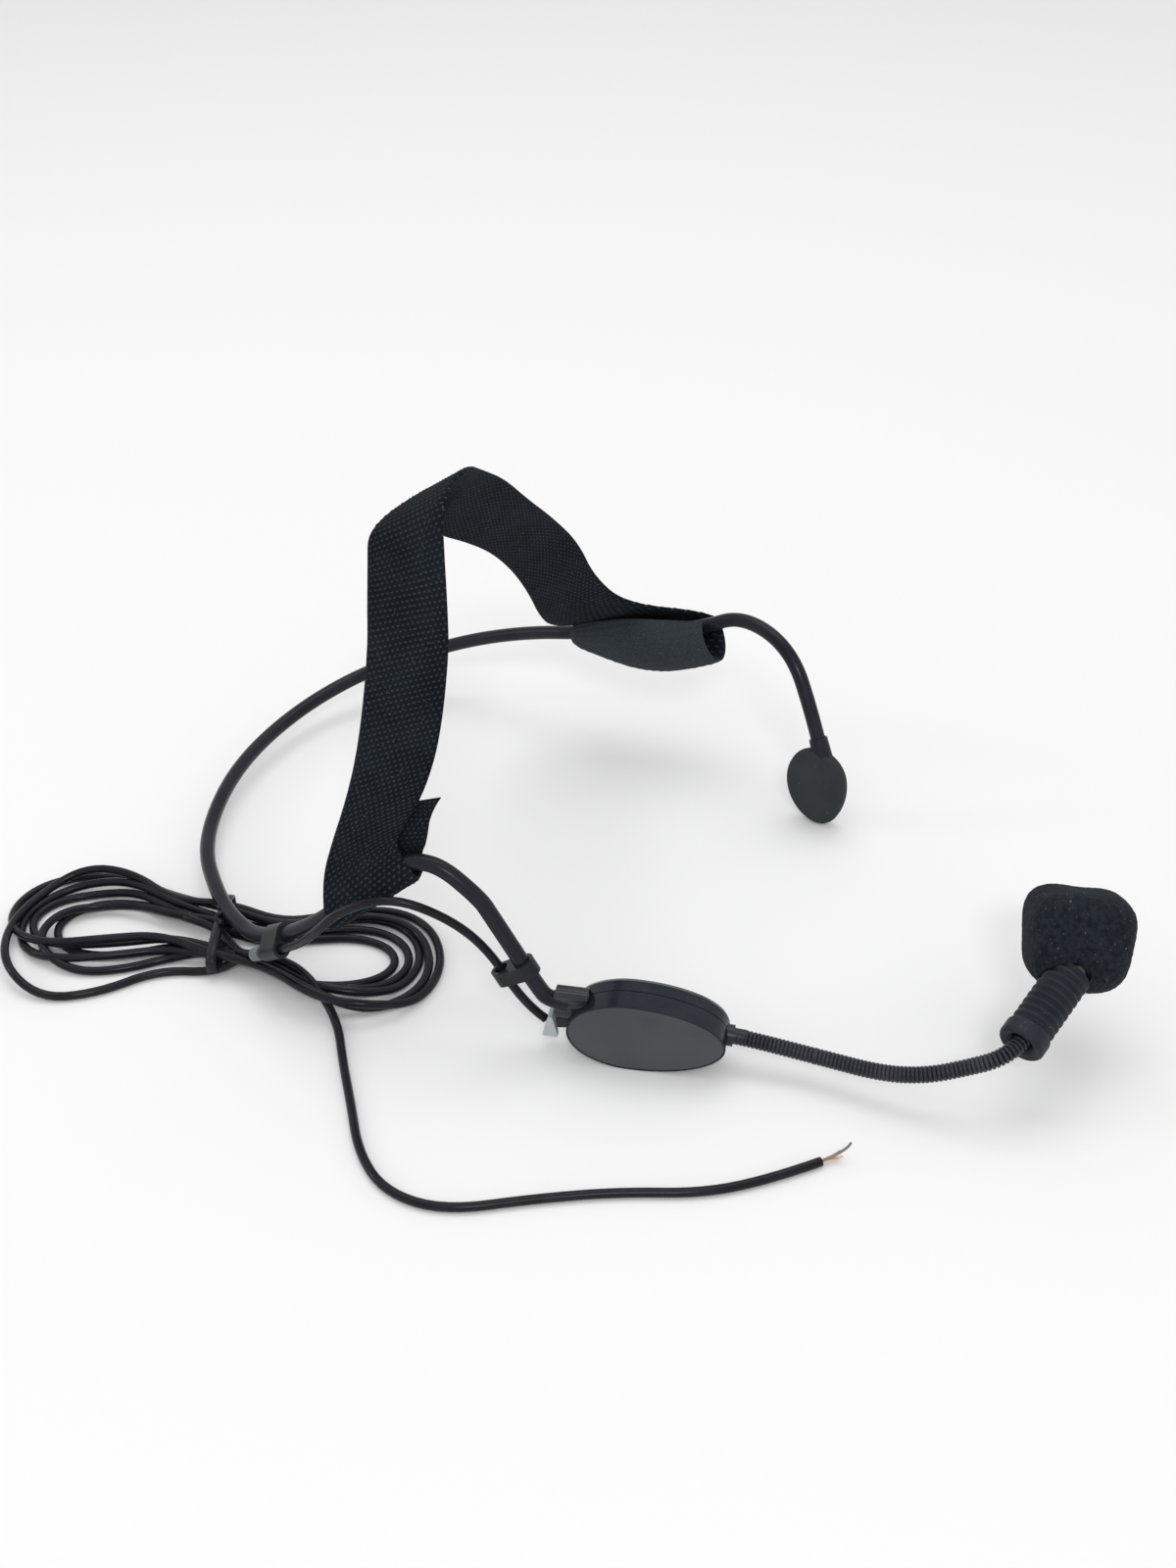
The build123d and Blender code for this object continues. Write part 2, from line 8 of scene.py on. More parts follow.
import bpy
import bmesh
from math import cos, pi, radians, sin, sqrt
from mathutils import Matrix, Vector, noise
from random import Random
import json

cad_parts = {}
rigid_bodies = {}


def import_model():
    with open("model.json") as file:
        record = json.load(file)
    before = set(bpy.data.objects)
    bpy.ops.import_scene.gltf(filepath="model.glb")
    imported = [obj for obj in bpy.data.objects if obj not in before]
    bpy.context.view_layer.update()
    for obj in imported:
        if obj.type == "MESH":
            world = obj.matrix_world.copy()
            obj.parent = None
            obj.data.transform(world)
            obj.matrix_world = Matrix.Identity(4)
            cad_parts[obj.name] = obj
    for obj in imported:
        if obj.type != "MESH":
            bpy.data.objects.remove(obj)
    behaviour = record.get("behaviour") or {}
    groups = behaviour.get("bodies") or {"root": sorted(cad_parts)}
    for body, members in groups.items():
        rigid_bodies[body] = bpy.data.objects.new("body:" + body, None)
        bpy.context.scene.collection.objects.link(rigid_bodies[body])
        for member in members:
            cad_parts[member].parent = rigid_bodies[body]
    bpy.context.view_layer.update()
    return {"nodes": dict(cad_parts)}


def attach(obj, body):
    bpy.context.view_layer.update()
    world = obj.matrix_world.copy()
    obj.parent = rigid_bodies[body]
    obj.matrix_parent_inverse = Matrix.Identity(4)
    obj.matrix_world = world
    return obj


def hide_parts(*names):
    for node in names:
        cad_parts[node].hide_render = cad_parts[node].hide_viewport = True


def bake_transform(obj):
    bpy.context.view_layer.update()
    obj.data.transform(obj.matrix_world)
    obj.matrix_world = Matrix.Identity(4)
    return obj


for leftover in list(bpy.data.objects):
    bpy.data.objects.remove(leftover)
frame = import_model()

# %% [markdown]
# ## The camera
# A long lens at arm's length gives the mild perspective of a product picture. The view is set
# from the direction it looks along, so that no number has to be found by dragging a camera.

# %% Camera
IMAGE_HEIGHT = 1600
FOCAL_IN_IMAGE = 1850
SENSOR = 36.0
VIEW_AZIMUTH, VIEW_ELEVATION, VIEW_DISTANCE = radians(35), radians(35), 0.6
LOOK_AT = Vector((-0.046, 0.049, 0))

away = Vector((
    sin(VIEW_AZIMUTH) * cos(VIEW_ELEVATION),
    -cos(VIEW_AZIMUTH) * cos(VIEW_ELEVATION),
    sin(VIEW_ELEVATION),
))
camera = bpy.data.objects.new("camera", bpy.data.cameras.new("camera"))
camera.data.lens = SENSOR * FOCAL_IN_IMAGE / IMAGE_HEIGHT
camera.data.sensor_width = SENSOR
camera.location = LOOK_AT + away * VIEW_DISTANCE
camera.rotation_euler = away.to_track_quat("Z", "Y").to_euler()
bpy.context.scene.collection.objects.link(camera)
bpy.context.scene.camera = camera
print("lens", round(camera.data.lens, 1), "mm")

# %% [markdown]
# ## Lines that pieces follow
# A bent tube, a cord and a boom all follow a line. A NURBS spline of order 3 is pulled towards
# its control points and touches each leg between them at its middle, so a few points give one
# smooth bend after another. The bare curve, turned into a mesh, gives points along that line.

# %% Curve helpers


def mm(*values):
    """Millimetres to a vector in metres."""
    return Vector(values) / 1000


def nurbs_curve(name, points, radius=0.0, resolution=8):
    """A curve object of one open NURBS spline. Order and end points come after its points."""
    data = bpy.data.curves.new(name, "CURVE")
    data.dimensions = "3D"
    spline = data.splines.new("NURBS")
    spline.points.add(len(points) - 1)
    for spot, point in zip(spline.points, points):
        spot.co = (*point, 1)
    spline.order_u = 3
    spline.use_endpoint_u = True
    spline.resolution_u = resolution
    data.bevel_depth = radius
    data.bevel_resolution = 4
    data.use_fill_caps = True
    piece = bpy.data.objects.new(name, data)
    bpy.context.scene.collection.objects.link(piece)
    return piece


def line_of(points, resolution=10):
    """Points along the NURBS line of these control points."""
    bare = nurbs_curve("bare_line", points, resolution=resolution)
    mesh = bpy.data.meshes.new_from_object(bare)
    line = [vertex.co.copy() for vertex in mesh.vertices]
    bpy.data.meshes.remove(mesh)
    bpy.data.curves.remove(bare.data)
    return line


def even(line, step):
    """The same line again, with points a fixed step apart."""
    lengths = [0.0]
    for before, after in zip(line, line[1:]):
        lengths.append(lengths[-1] + (after - before).length)
    count = max(2, round(lengths[-1] / step) + 1)
    spaced, index = [], 0
    for number in range(count):
        wanted = lengths[-1] * number / (count - 1)
        while index < len(line) - 2 and lengths[index + 1] < wanted:
            index += 1
        run = max(lengths[index + 1] - lengths[index], 1e-12)
        spaced.append(line[index].lerp(line[index + 1], (wanted - lengths[index]) / run))
    return spaced


def length_of(line):
    """The length of a line of points."""
    return sum((after - before).length for before, after in zip(line, line[1:]))


# %% [markdown]
# ## The cord
# A thin vinyl cord has no shape of its own. It leaves the housing, is held by two clips on the
# band, and is then wound into a hank of loose turns that one tie pinches in the middle. The
# tail wanders over the table to its stripped end. It is one spline from end to end.
#
# Each turn of the hank is a left lobe and a right lobe. A loop makes them from one template
# and a table of how far each turn reaches, so no two are alike. The turns are then laid down
# one by one: wherever a strand crosses one that is already down, it is lifted on top of it.

# %% Cord route
CORD_R = 0.00125
LEAD = [
    mm(16, -59.6, 9.4),
    mm(11, -62.3, 14.2),
    mm(2.2, -66.4, 32.4),
    mm(-7, -71.5, 42),
    mm(-19.5, -79, 48),
    mm(-31.5, -85.5, 42.5),
    mm(-39.5, -88.5, 32.5),
    mm(-47.5, -87.6, 23.6),
    mm(-70.1, -85.8, 7.8),
    mm(-78, -83.3, 4.9),
]
TAIL = [
    mm(-36.5, -86, 1.25),
    mm(-24, -98, 1.25),
    mm(-12, -108.5, 1.25),
    mm(1, -120.5, 1.25),
    mm(15, -127, 1.25),
    mm(31, -123.5, 1.25),
    mm(47, -107.5, 1.25),
    mm(63, -93.5, 1.25),
    mm(81, -81.5, 1.25),
    mm(93, -66.5, 1.25),
    mm(99.5, -55.5, 1.25),
]
HANK_CENTRE = mm(-85, -86, 0)
HANK_ALONG = Vector((0.83, 0.56, 0)).normalized()
HANK_ACROSS = Vector((-HANK_ALONG.y, HANK_ALONG.x, 0))
WAIST = 2.0
# one row a lobe, in millimetres: how far it reaches, its upper side, its lower side
LEFT_LOBES = [
    (-47, 23, -1),
    (-55, 27, 1),
    (-50, 20, -8),
    (-58, 30, -5),
    (-62, 36, 0),
    (-60, 33, -19),
]
RIGHT_LOBES = [
    (53, 8, -13),
    (57, 12, -16),
    (60, 17, -19),
    (63, 15, -23),
    (66, 21, -26),
]
# where each strand passes through the tie, from its upper to its lower edge
LEFT_SLOTS = [(6.5, 2.5), (9.5, 0.0), (12.5, -2.0), (15.5, -4.5), (18.5, -6.0), (20.5, -8.0)]
# along the lobe from the tie, and across it from its lower side (-1) to its upper side (1)
LOBE_TEMPLATE = [
    (0.27, 0.52),
    (0.50, 0.93),
    (0.74, 1.04),
    (0.94, 0.74),
    (1.03, 0.08),
    (0.96, -0.66),
    (0.76, -1.04),
    (0.50, -0.93),
    (0.26, -0.52),
]


def on_hank(along, across, height=0.0):
    """A place in the hank, from millimetres along and across it."""
    return HANK_CENTRE + (HANK_ALONG * along + HANK_ACROSS * across) / 1000 + Vector((0, 0, height))


def lobe(reach, upper, lower, enter, leave):
    """The points of one lobe, from the slot where it leaves the tie to the slot it returns to."""
    points = [on_hank(WAIST, enter)]
    for number, (along, across) in enumerate(LOBE_TEMPLATE):
        side = (upper + lower) / 2 + across * (upper - lower) / 2
        slot = enter if number < len(LOBE_TEMPLATE) / 2 else leave
        near_tie = max(0.0, 1 - along / 0.5)
        side += (slot - side) * near_tie * 0.75
        points.append(on_hank(WAIST + (reach - WAIST) * along, side))
    return points


turns = []
for number, (reach, upper, lower) in enumerate(LEFT_LOBES):
    enter, leave = LEFT_SLOTS[number]
    turns += lobe(reach, upper, lower, enter, leave)
    if number < len(RIGHT_LOBES):
        reach, upper, lower = RIGHT_LOBES[number]
        back = LEFT_SLOTS[number + 1][0]
        turns += lobe(reach, lower, upper, leave, back)
turns.append(on_hank(WAIST + 1, LEFT_SLOTS[-1][1]))
turns += [on_hank(12, -5.5), on_hank(22, -8), on_hank(31, -15)]
print(len(turns), "points in", len(LEFT_LOBES), "turns")


# %% [markdown]
# Laying the turns down is one pass over the cord. Each sample asks which strands already lie
# within a diameter of it, and rests on the highest. The samples' heights are then spread
# over their neighbours, so that the cord climbs over a crossing in a long low hump.

# %% Lay the cord down
SAMPLES = 12
HANK_LIMIT = 0.0068


def lay_down(points, held):
    """The same points, lifted so that each strand rests on those laid down before it."""
    flat = line_of(points, resolution=SAMPLES)
    touch = 2 * CORD_R
    heights, laid_cells = [], {}
    for number, spot in enumerate(flat):
        height = CORD_R
        column, row = int(spot.x // touch), int(spot.y // touch)
        around = [(column + i, row + j) for i in (-1, 0, 1) for j in (-1, 0, 1)]
        for cell in around:
            for other, other_height, other_number in laid_cells.get(cell, ()):
                apart = (spot.xy - other.xy).length
                if number - other_number > 2 * SAMPLES and apart < touch:
                    height = max(height, other_height + sqrt(touch * touch - apart * apart))
        laid_cells.setdefault((column, row), []).append((spot, height, number))
        heights.append(height)
    lifted = []
    for index, point in enumerate(points):
        middle = round((index - 0.5) * SAMPLES)
        reach = SAMPLES * 2 // 3
        near = heights[max(0, middle - reach):middle + reach] or heights[:1]
        height = max(min(max(near), HANK_LIMIT), held.get(index, 0.0))
        lifted.append(Vector((point.x, point.y, height)))
    return lifted


laid = lay_down(turns, {0: 0.0052, 1: 0.0046})
cord_points = LEAD + laid + TAIL
cord_line = line_of(cord_points)
print("cord", round(length_of(cord_line), 3), "m")

cord = nurbs_curve("cord", cord_points, radius=CORD_R, resolution=6)


# %% [markdown]
# ## Finishes
# Black is never one black. Vinyl, rubber, foam and webbing differ in how they catch light, so
# each finish has its own colour range, roughness and relief. What they share is made once, as
# node groups: a grain, a thin dust, and a weave. A group gives only masks, colours and heights.
# Every shader stays in its own material.

# %% Node helpers


def group_of(name, inputs, outputs):
    """An empty shader node group with named inputs (name, kind, value) and outputs."""
    tree = bpy.data.node_groups.new(name, "ShaderNodeTree")
    for label, kind, value in inputs:
        socket = tree.interface.new_socket(label, in_out="INPUT", socket_type=kind)
        if value is not None:
            socket.default_value = value
    for label, kind in outputs:
        tree.interface.new_socket(label, in_out="OUTPUT", socket_type=kind)
    return tree, tree.nodes.new("NodeGroupInput"), tree.nodes.new("NodeGroupOutput")


def math_node(tree, operation, first, second=None, clamp=False):
    """A Math node's output. Each operand is a socket or a number."""
    node = tree.nodes.new("ShaderNodeMath")
    node.operation = operation
    node.use_clamp = clamp
    for socket, value in zip(node.inputs, (first, second)):
        if value is None:
            continue
        if isinstance(value, bpy.types.NodeSocket):
            tree.links.new(value, socket)
        else:
            socket.default_value = value
    return node.outputs[0]


def mix_colour(tree, share, first, second):
    """A colour between two others. Each value is a socket or a plain value."""
    node = tree.nodes.new("ShaderNodeMix")
    node.data_type = "RGBA"
    for number, value in ((0, share), (6, first), (7, second)):
        socket = node.inputs[number]
        if isinstance(value, bpy.types.NodeSocket):
            tree.links.new(value, socket)
        else:
            socket.default_value = value
    return node.outputs[2]


def noise_node(tree, coordinates, scale, detail=3.0, roughness=0.55):
    """A Noise Texture's value output."""
    node = tree.nodes.new("ShaderNodeTexNoise")
    node.inputs["Detail"].default_value = detail
    node.inputs["Roughness"].default_value = roughness
    tree.links.new(coordinates, node.inputs["Vector"])
    if isinstance(scale, bpy.types.NodeSocket):
        tree.links.new(scale, node.inputs["Scale"])
    else:
        node.inputs["Scale"].default_value = scale
    return node.outputs[0]


# %% [markdown]
# **Grain** is what a mould or an extruder leaves: fine noise for the relief, and wide soft
# noise for the way the surface drifts from one place to the next.

# %% Grain group
grain_group, inside, outside = group_of(
    "grain",
    [("Vector", "NodeSocketVector", None), ("Fineness", "NodeSocketFloat", 2500.0),
     ("Drift Scale", "NodeSocketFloat", 90.0)],
    [("Height", "NodeSocketFloat"), ("Drift", "NodeSocketFloat")],
)
fine = noise_node(grain_group, inside.outputs["Vector"], inside.outputs["Fineness"])
drift = noise_node(grain_group, inside.outputs["Vector"], inside.outputs["Drift Scale"], 2.0)
grain_group.links.new(fine, outside.inputs["Height"])
grain_group.links.new(drift, outside.inputs["Drift"])

# %% [markdown]
# **Dust** settles as sparse pale specks and as a faint haze on what faces up.

# %% Dust group
dust_group, inside, outside = group_of(
    "dust",
    [("Vector", "NodeSocketVector", None), ("Base", "NodeSocketColor", (0, 0, 0, 1)),
     ("Dust", "NodeSocketColor", (0.3, 0.3, 0.3, 1)), ("Specks", "NodeSocketFloat", 0.1),
     ("Haze", "NodeSocketFloat", 0.05)],
    [("Color", "NodeSocketColor"), ("Mask", "NodeSocketFloat")],
)
speck_noise = noise_node(dust_group, inside.outputs["Vector"], 1400.0, 1.0)
speck = math_node(dust_group, "SUBTRACT", speck_noise, 0.70, True)
speck = math_node(dust_group, "MULTIPLY", speck, 9.0, True)
speck = math_node(dust_group, "MULTIPLY", speck, inside.outputs["Specks"])
normal_of = dust_group.nodes.new("ShaderNodeNewGeometry")
split = dust_group.nodes.new("ShaderNodeSeparateXYZ")
dust_group.links.new(normal_of.outputs["Normal"], split.inputs[0])
upward = math_node(dust_group, "MAXIMUM", split.outputs["Z"], 0.0)
haze_noise = noise_node(dust_group, inside.outputs["Vector"], 160.0, 3.0)
haze = math_node(dust_group, "MULTIPLY", math_node(dust_group, "MULTIPLY", upward, haze_noise),
                 inside.outputs["Haze"])
dust_mask = math_node(dust_group, "ADD", speck, haze, True)
dust_group.links.new(
    mix_colour(dust_group, dust_mask, inside.outputs["Base"], inside.outputs["Dust"]),
    outside.inputs["Color"])
dust_group.links.new(dust_mask, outside.inputs["Mask"])

# %% [markdown]
# A finish starts from a Principled shader. Its colour drifts between a darker and a lighter
# tone, its roughness drifts with it, and the fine grain drives a Bump node.

# %% Finish helper


def finish(name, dark, light, rough, rough_drift=0.12, bump=0.15, fineness=2500.0,
           drift_scale=90.0, metallic=0.0, coat=0.0, sheen=0.0, specks=0.1, haze=0.06,
           specular=0.5):
    """A material with drifting colour and roughness, fine grain and a little dust."""
    material = bpy.data.materials.new(name)
    material.use_nodes = True
    tree = material.node_tree
    shader = tree.nodes["Principled BSDF"]
    place = tree.nodes.new("ShaderNodeTexCoord").outputs["Object"]
    grain = tree.nodes.new("ShaderNodeGroup")
    grain.node_tree = grain_group
    grain.inputs["Fineness"].default_value = fineness
    grain.inputs["Drift Scale"].default_value = drift_scale
    tree.links.new(place, grain.inputs["Vector"])
    stretch = tree.nodes.new("ShaderNodeMapRange")
    stretch.inputs["From Min"].default_value = 0.35
    stretch.inputs["From Max"].default_value = 0.65
    tree.links.new(grain.outputs["Drift"], stretch.inputs["Value"])
    tone = mix_colour(tree, stretch.outputs[0], (*dark, 1), (*light, 1))
    dust = tree.nodes.new("ShaderNodeGroup")
    dust.node_tree = dust_group
    dust.inputs["Specks"].default_value = specks
    dust.inputs["Haze"].default_value = haze
    tree.links.new(place, dust.inputs["Vector"])
    tree.links.new(tone, dust.inputs["Base"])
    tree.links.new(dust.outputs["Color"], shader.inputs["Base Color"])
    uneven = math_node(tree, "MULTIPLY_ADD", stretch.outputs[0], rough_drift)
    uneven.node.inputs[2].default_value = rough - rough_drift / 2
    dusty = math_node(tree, "MULTIPLY", dust.outputs["Mask"], 0.5)
    uneven = math_node(tree, "ADD", uneven, dusty, True)
    tree.links.new(uneven, shader.inputs["Roughness"])
    relief = tree.nodes.new("ShaderNodeBump")
    relief.inputs["Strength"].default_value = bump
    relief.inputs["Distance"].default_value = 0.0001
    tree.links.new(grain.outputs["Height"], relief.inputs["Height"])
    tree.links.new(relief.outputs["Normal"], shader.inputs["Normal"])
    shader.inputs["Metallic"].default_value = metallic
    shader.inputs["Coat Weight"].default_value = coat
    shader.inputs["Coat Roughness"].default_value = 0.08
    shader.inputs["Sheen Weight"].default_value = sheen
    shader.inputs["Specular IOR Level"].default_value = specular
    return material


# %% Finishes of the hard parts
vinyl = finish("band vinyl", (0.010, 0.010, 0.016), (0.018, 0.017, 0.027), 0.28, bump=0.10,
               coat=0.05, drift_scale=70, haze=0.01, specular=0.15)
cord_vinyl = finish("cord vinyl", (0.006, 0.006, 0.009), (0.012, 0.011, 0.017), 0.24, bump=0.08,
                    coat=0.06, drift_scale=120, haze=0.01, specks=0.05, specular=0.16)
gloss_shell = finish("gloss shell", (0.008, 0.011, 0.018), (0.013, 0.018, 0.028), 0.22,
                     rough_drift=0.08, bump=0.05, coat=0.08, haze=0.01, specks=0.15, specular=0.16)
matte_face = finish("matte face", (0.052, 0.060, 0.064), (0.068, 0.077, 0.081), 0.62, bump=0.5,
                    fineness=5200, drift_scale=45, haze=0.02, specks=0.08, specular=0.25)
rib_plastic = finish("ribbed neck plastic", (0.012, 0.015, 0.019), (0.026, 0.031, 0.036), 0.22,
                     bump=0.06, coat=0.12, haze=0.01, specular=0.3)
pale_plastic = finish("pale relief plastic", (0.30, 0.34, 0.36), (0.42, 0.46, 0.47), 0.45,
                      bump=0.2, haze=0.0)
coil_steel = finish("painted coil", (0.022, 0.023, 0.032), (0.040, 0.041, 0.053), 0.34,
                    bump=0.15, metallic=0.3, coat=0.05, haze=0.01, specks=0.2, specular=0.25)
sleeve_rubber = finish("sleeve rubber", (0.013, 0.017, 0.024), (0.024, 0.029, 0.038), 0.50,
                       bump=0.45, fineness=4000, haze=0.01, specks=0.25, specular=0.15)
pad_rubber = finish("pad rubber", (0.026, 0.031, 0.034), (0.036, 0.041, 0.045), 0.72, bump=0.55,
                    fineness=4500, drift_scale=60, haze=0.01, specks=0.2, specular=0.15)
clip_rubber = finish("clip rubber", (0.008, 0.010, 0.011), (0.018, 0.022, 0.023), 0.36,
                     bump=0.25, coat=0.04, haze=0.01, specular=0.2)
tie_plastic = finish("tie plastic", (0.006, 0.006, 0.009), (0.012, 0.011, 0.016), 0.26,
                     bump=0.12, coat=0.06, haze=0.01, specular=0.2)
shrink_sleeve = finish("heat-shrunk sleeve", (0.10, 0.115, 0.125), (0.16, 0.175, 0.185), 0.5,
                       bump=0.2)
spring_steel = finish("spring steel", (0.42, 0.42, 0.43), (0.58, 0.58, 0.59), 0.3, metallic=1.0)
dark_screw = finish("dark screw", (0.10, 0.10, 0.11), (0.18, 0.18, 0.19), 0.38, metallic=1.0)
board_green = finish("board lacquer", (0.02, 0.09, 0.04), (0.03, 0.13, 0.06), 0.35, coat=0.3)
solder_tin = finish("solder", (0.55, 0.55, 0.56), (0.72, 0.72, 0.73), 0.25, metallic=1.0)
brass_plain = finish("nut brass", (0.55, 0.40, 0.18), (0.68, 0.52, 0.26), 0.35, metallic=1.0)
lead_red = finish("lead insulation", (0.20, 0.02, 0.02), (0.30, 0.04, 0.03), 0.5)
ring_rubber = finish("ring rubber", (0.016, 0.016, 0.018), (0.028, 0.028, 0.031), 0.7)
copper = finish("bare copper", (0.62, 0.26, 0.14), (0.78, 0.38, 0.22), 0.3, metallic=1.0, haze=0.0)
tinned = finish("screen wire", (0.16, 0.17, 0.18), (0.26, 0.27, 0.28), 0.45, metallic=0.7, haze=0.0)
print(len(bpy.data.materials), "finishes")

# %% [markdown]
# The CAD nodes whose shape is right keep it, and only their material slots change.

# %% Dress the CAD nodes
NODE_FINISH = {
    "neck_wire": spring_steel,
    "band_socket": rib_plastic,
    "housing_front_shell": gloss_shell,
    "housing_back_shell": gloss_shell,
    "housing_cover": matte_face,
    "cover_screws": dark_screw,
    "terminal_board": board_green,
    "solder_joints": solder_tin,
    "cord_grommet": ring_rubber,
    "relief_wedge": pale_plastic,
    "boom_ferrule": coil_steel,
    "boom_nut": brass_plain,
    "boom_lead_base": lead_red,
    "boom_lead_middle": lead_red,
    "boom_lead_tip": lead_red,
    "capsule_can": dark_screw,
    "capsule_element": ring_rubber,
    "capsule_grille": dark_screw,
    "capsule_ring": ring_rubber,
    "pad_neck": vinyl,
    "neck_sheath": vinyl,
    "gooseneck_base": coil_steel,
    "gooseneck_middle": coil_steel,
    "gooseneck_tip": coil_steel,
    "mic_sleeve": sleeve_rubber,
    "windscreen": sleeve_rubber,
    "ear_pad": pad_rubber,
    "strap_span": sleeve_rubber,
    "strap_loop_near": sleeve_rubber,
    "strap_loop_far": sleeve_rubber,
    "front_clip": clip_rubber,
    "rear_clip": clip_rubber,
    "cord_sleeve": shrink_sleeve,
    "hank_tie": tie_plastic,
    "cord_core": copper,
}
for node_name, material in NODE_FINISH.items():
    data = frame["nodes"][node_name].data
    data.materials.clear()
    data.materials.append(material)

# %% Cord finish
cord.data.materials.append(cord_vinyl)
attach(cord, "headset")
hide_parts("cord_lead", "cord_hank", "cord_tail")

# %% [markdown]
# ## The band
# A spring wire inside a vinyl tube is bent once in the factory and then holds its shape. The
# tube follows the same corner points as the CAD, but as one smooth line with no flat runs.

# %% Band tube
BAND_R = 0.0023
BAND = [
    mm(22.6, -58, 17.4),
    mm(17.8, -60.6, 18.0),
    mm(15.2, -61.5, 21.6),
    mm(11.4, -62.6, 28.2),
    mm(3.0, -65.1, 42.7),
    mm(0, -66, 48),
    mm(-13, -69, 57),
    mm(-24, -73, 52.5),
    mm(-43, -84, 30),
    mm(-68, -82, 12.5),
    mm(-83, -77.5, 9.5),
    mm(-97, -70.5, 8.6),
    mm(-117, -56, 7.8),
    mm(-133, -32, 7.8),
    mm(-142, -8, 8.2),
    mm(-144.5, 19, 9.6),
    mm(-139, 43, 12.8),
    mm(-127, 58, 17),
    mm(-110, 69, 24),
    mm(-88, 74, 32),
    mm(-67, 75.5, 38),
    mm(-27, 84.5, 48.5),
    mm(-13, 87.5, 57),
    mm(8, 82.5, 54),
    mm(20, 77.5, 36),
    mm(25.5, 75, 25),
]
band_line = even(line_of(BAND), 0.001)
band = nurbs_curve("band_tube", BAND, radius=BAND_R, resolution=14)
band.data.bevel_resolution = 6
band.data.materials.append(vinyl)
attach(band, "headset")
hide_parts("neck_sheath")
print("band", round(length_of(band_line), 3), "m")


def nearest_on(line, point):
    """The nearest point of a line, and the line's direction there."""
    index = min(range(1, len(line) - 1), key=lambda i: (line[i] - point).length_squared)
    return line[index], (line[index + 1] - line[index - 1]).normalized()


# %% [markdown]
# ## Meshes from rows of points
# Most shells here are rows of points: a strap is rows across its width, and a sleeve is rings.
# One helper joins the rows into faces, closes the ends if asked, and keeps a UV map in metres,
# along and across, for patterns that follow the surface.

# %% Row helpers


def mesh_piece(name, rows, closed_across=False, cap_ends=False, uv=None):
    """A smooth mesh from equal rows of points. A closed row is a ring."""
    count = len(rows[0])
    mesh = bpy.data.meshes.new(name)
    points = [tuple(point) for row in rows for point in row]
    faces = []
    across = count if closed_across else count - 1
    for row in range(len(rows) - 1):
        for column in range(across):
            a, b = row * count + column, row * count + (column + 1) % count
            faces.append((a, b, b + count, a + count))
    if cap_ends:
        faces.append(tuple(reversed(range(count))))
        faces.append(tuple((len(rows) - 1) * count + column for column in range(count)))
    mesh.from_pydata(points, [], faces)
    if uv:
        layer = mesh.uv_layers.new(name="surface")
        for loop in mesh.loops:
            row, column = divmod(loop.vertex_index, count)
            layer.data[loop.index].uv = uv(row, column)
    for polygon in mesh.polygons:
        polygon.use_smooth = True
    piece = bpy.data.objects.new(name, mesh)
    bpy.context.scene.collection.objects.link(piece)
    return piece


def outward(piece, merge=0.0):
    """Turns all faces of a closed mesh outwards. Points closer than merge become one first."""
    work = bmesh.new()
    work.from_mesh(piece.data)
    if merge:
        bmesh.ops.remove_doubles(work, verts=work.verts, dist=merge)
    bmesh.ops.recalc_face_normals(work, faces=work.faces)
    work.to_mesh(piece.data)
    work.free()


def joined(name, parts):
    """One piece from several (piece, material number) pairs, which it uses up."""
    work = bmesh.new()
    for part, number in parts:
        first = len(work.faces)
        work.from_mesh(part.data)
        work.faces.ensure_lookup_table()
        for face in work.faces[first:]:
            face.material_index = number
        bpy.data.objects.remove(part)
    mesh = bpy.data.meshes.new(name)
    work.to_mesh(mesh)
    work.free()
    piece = bpy.data.objects.new(name, mesh)
    bpy.context.scene.collection.objects.link(piece)
    return piece


def add_modifier(piece, kind, **values):
    """A modifier with its settings."""
    modifier = piece.modifiers.new(kind.lower(), kind)
    for label, value in values.items():
        setattr(modifier, label, value)
    return modifier


def applied(piece):
    """The piece with its modifiers made part of its mesh."""
    seen = piece.evaluated_get(bpy.context.evaluated_depsgraph_get())
    mesh = bpy.data.meshes.new_from_object(seen)
    piece.modifiers.clear()
    piece.data = mesh
    return piece


def rings_along(line, radius_at, sides=24, ripple=None):
    """Rings of points round a line. radius_at gives a ring's radius from its distance."""
    rings, distance = [], 0.0
    ahead = (line[1] - line[0]).normalized()
    side = ahead.orthogonal().normalized()
    for index, point in enumerate(line):
        before, after = line[max(index - 1, 0)], line[min(index + 1, len(line) - 1)]
        turned = (after - before).normalized()
        side = (ahead.rotation_difference(turned) @ side).normalized()
        ahead = turned
        if index:
            distance += (point - line[index - 1]).length
        up = ahead.cross(side)
        radius = radius_at(distance)
        angles = [2 * pi * k / sides for k in range(sides)]
        rings.append([point + (side * cos(angle) + up * sin(angle)) * radius for angle in angles])
    return rings


# %% [markdown]
# ## The head strap
# The strap is one piece of elastic webbing. Its outer face is ribbed across: short stitches
# stand in rows about 1.5 mm apart. Its inner face is brushed into loops that a hook tab can
# grip. It goes round the band at each ear: by the right ear the end is folded back up inside,
# and by the left ear it makes a wide soft sleeve. A cloth simulation would pull it flat, so it
# is laid out as rows, each with a front end and a back end.

# %% Strap rows
STRAP_WIDTH, STRAP_THICK = 0.025, 0.0013
RIB_PITCH = 0.0015
RIB_SLANT = 0.17


def crosswise(centre, across, width=25.0):
    """A row of the strap: its front and back ends."""
    side = Vector(across).normalized() * width / 2
    return mm(*(Vector(centre) + side)), mm(*(Vector(centre) - side))


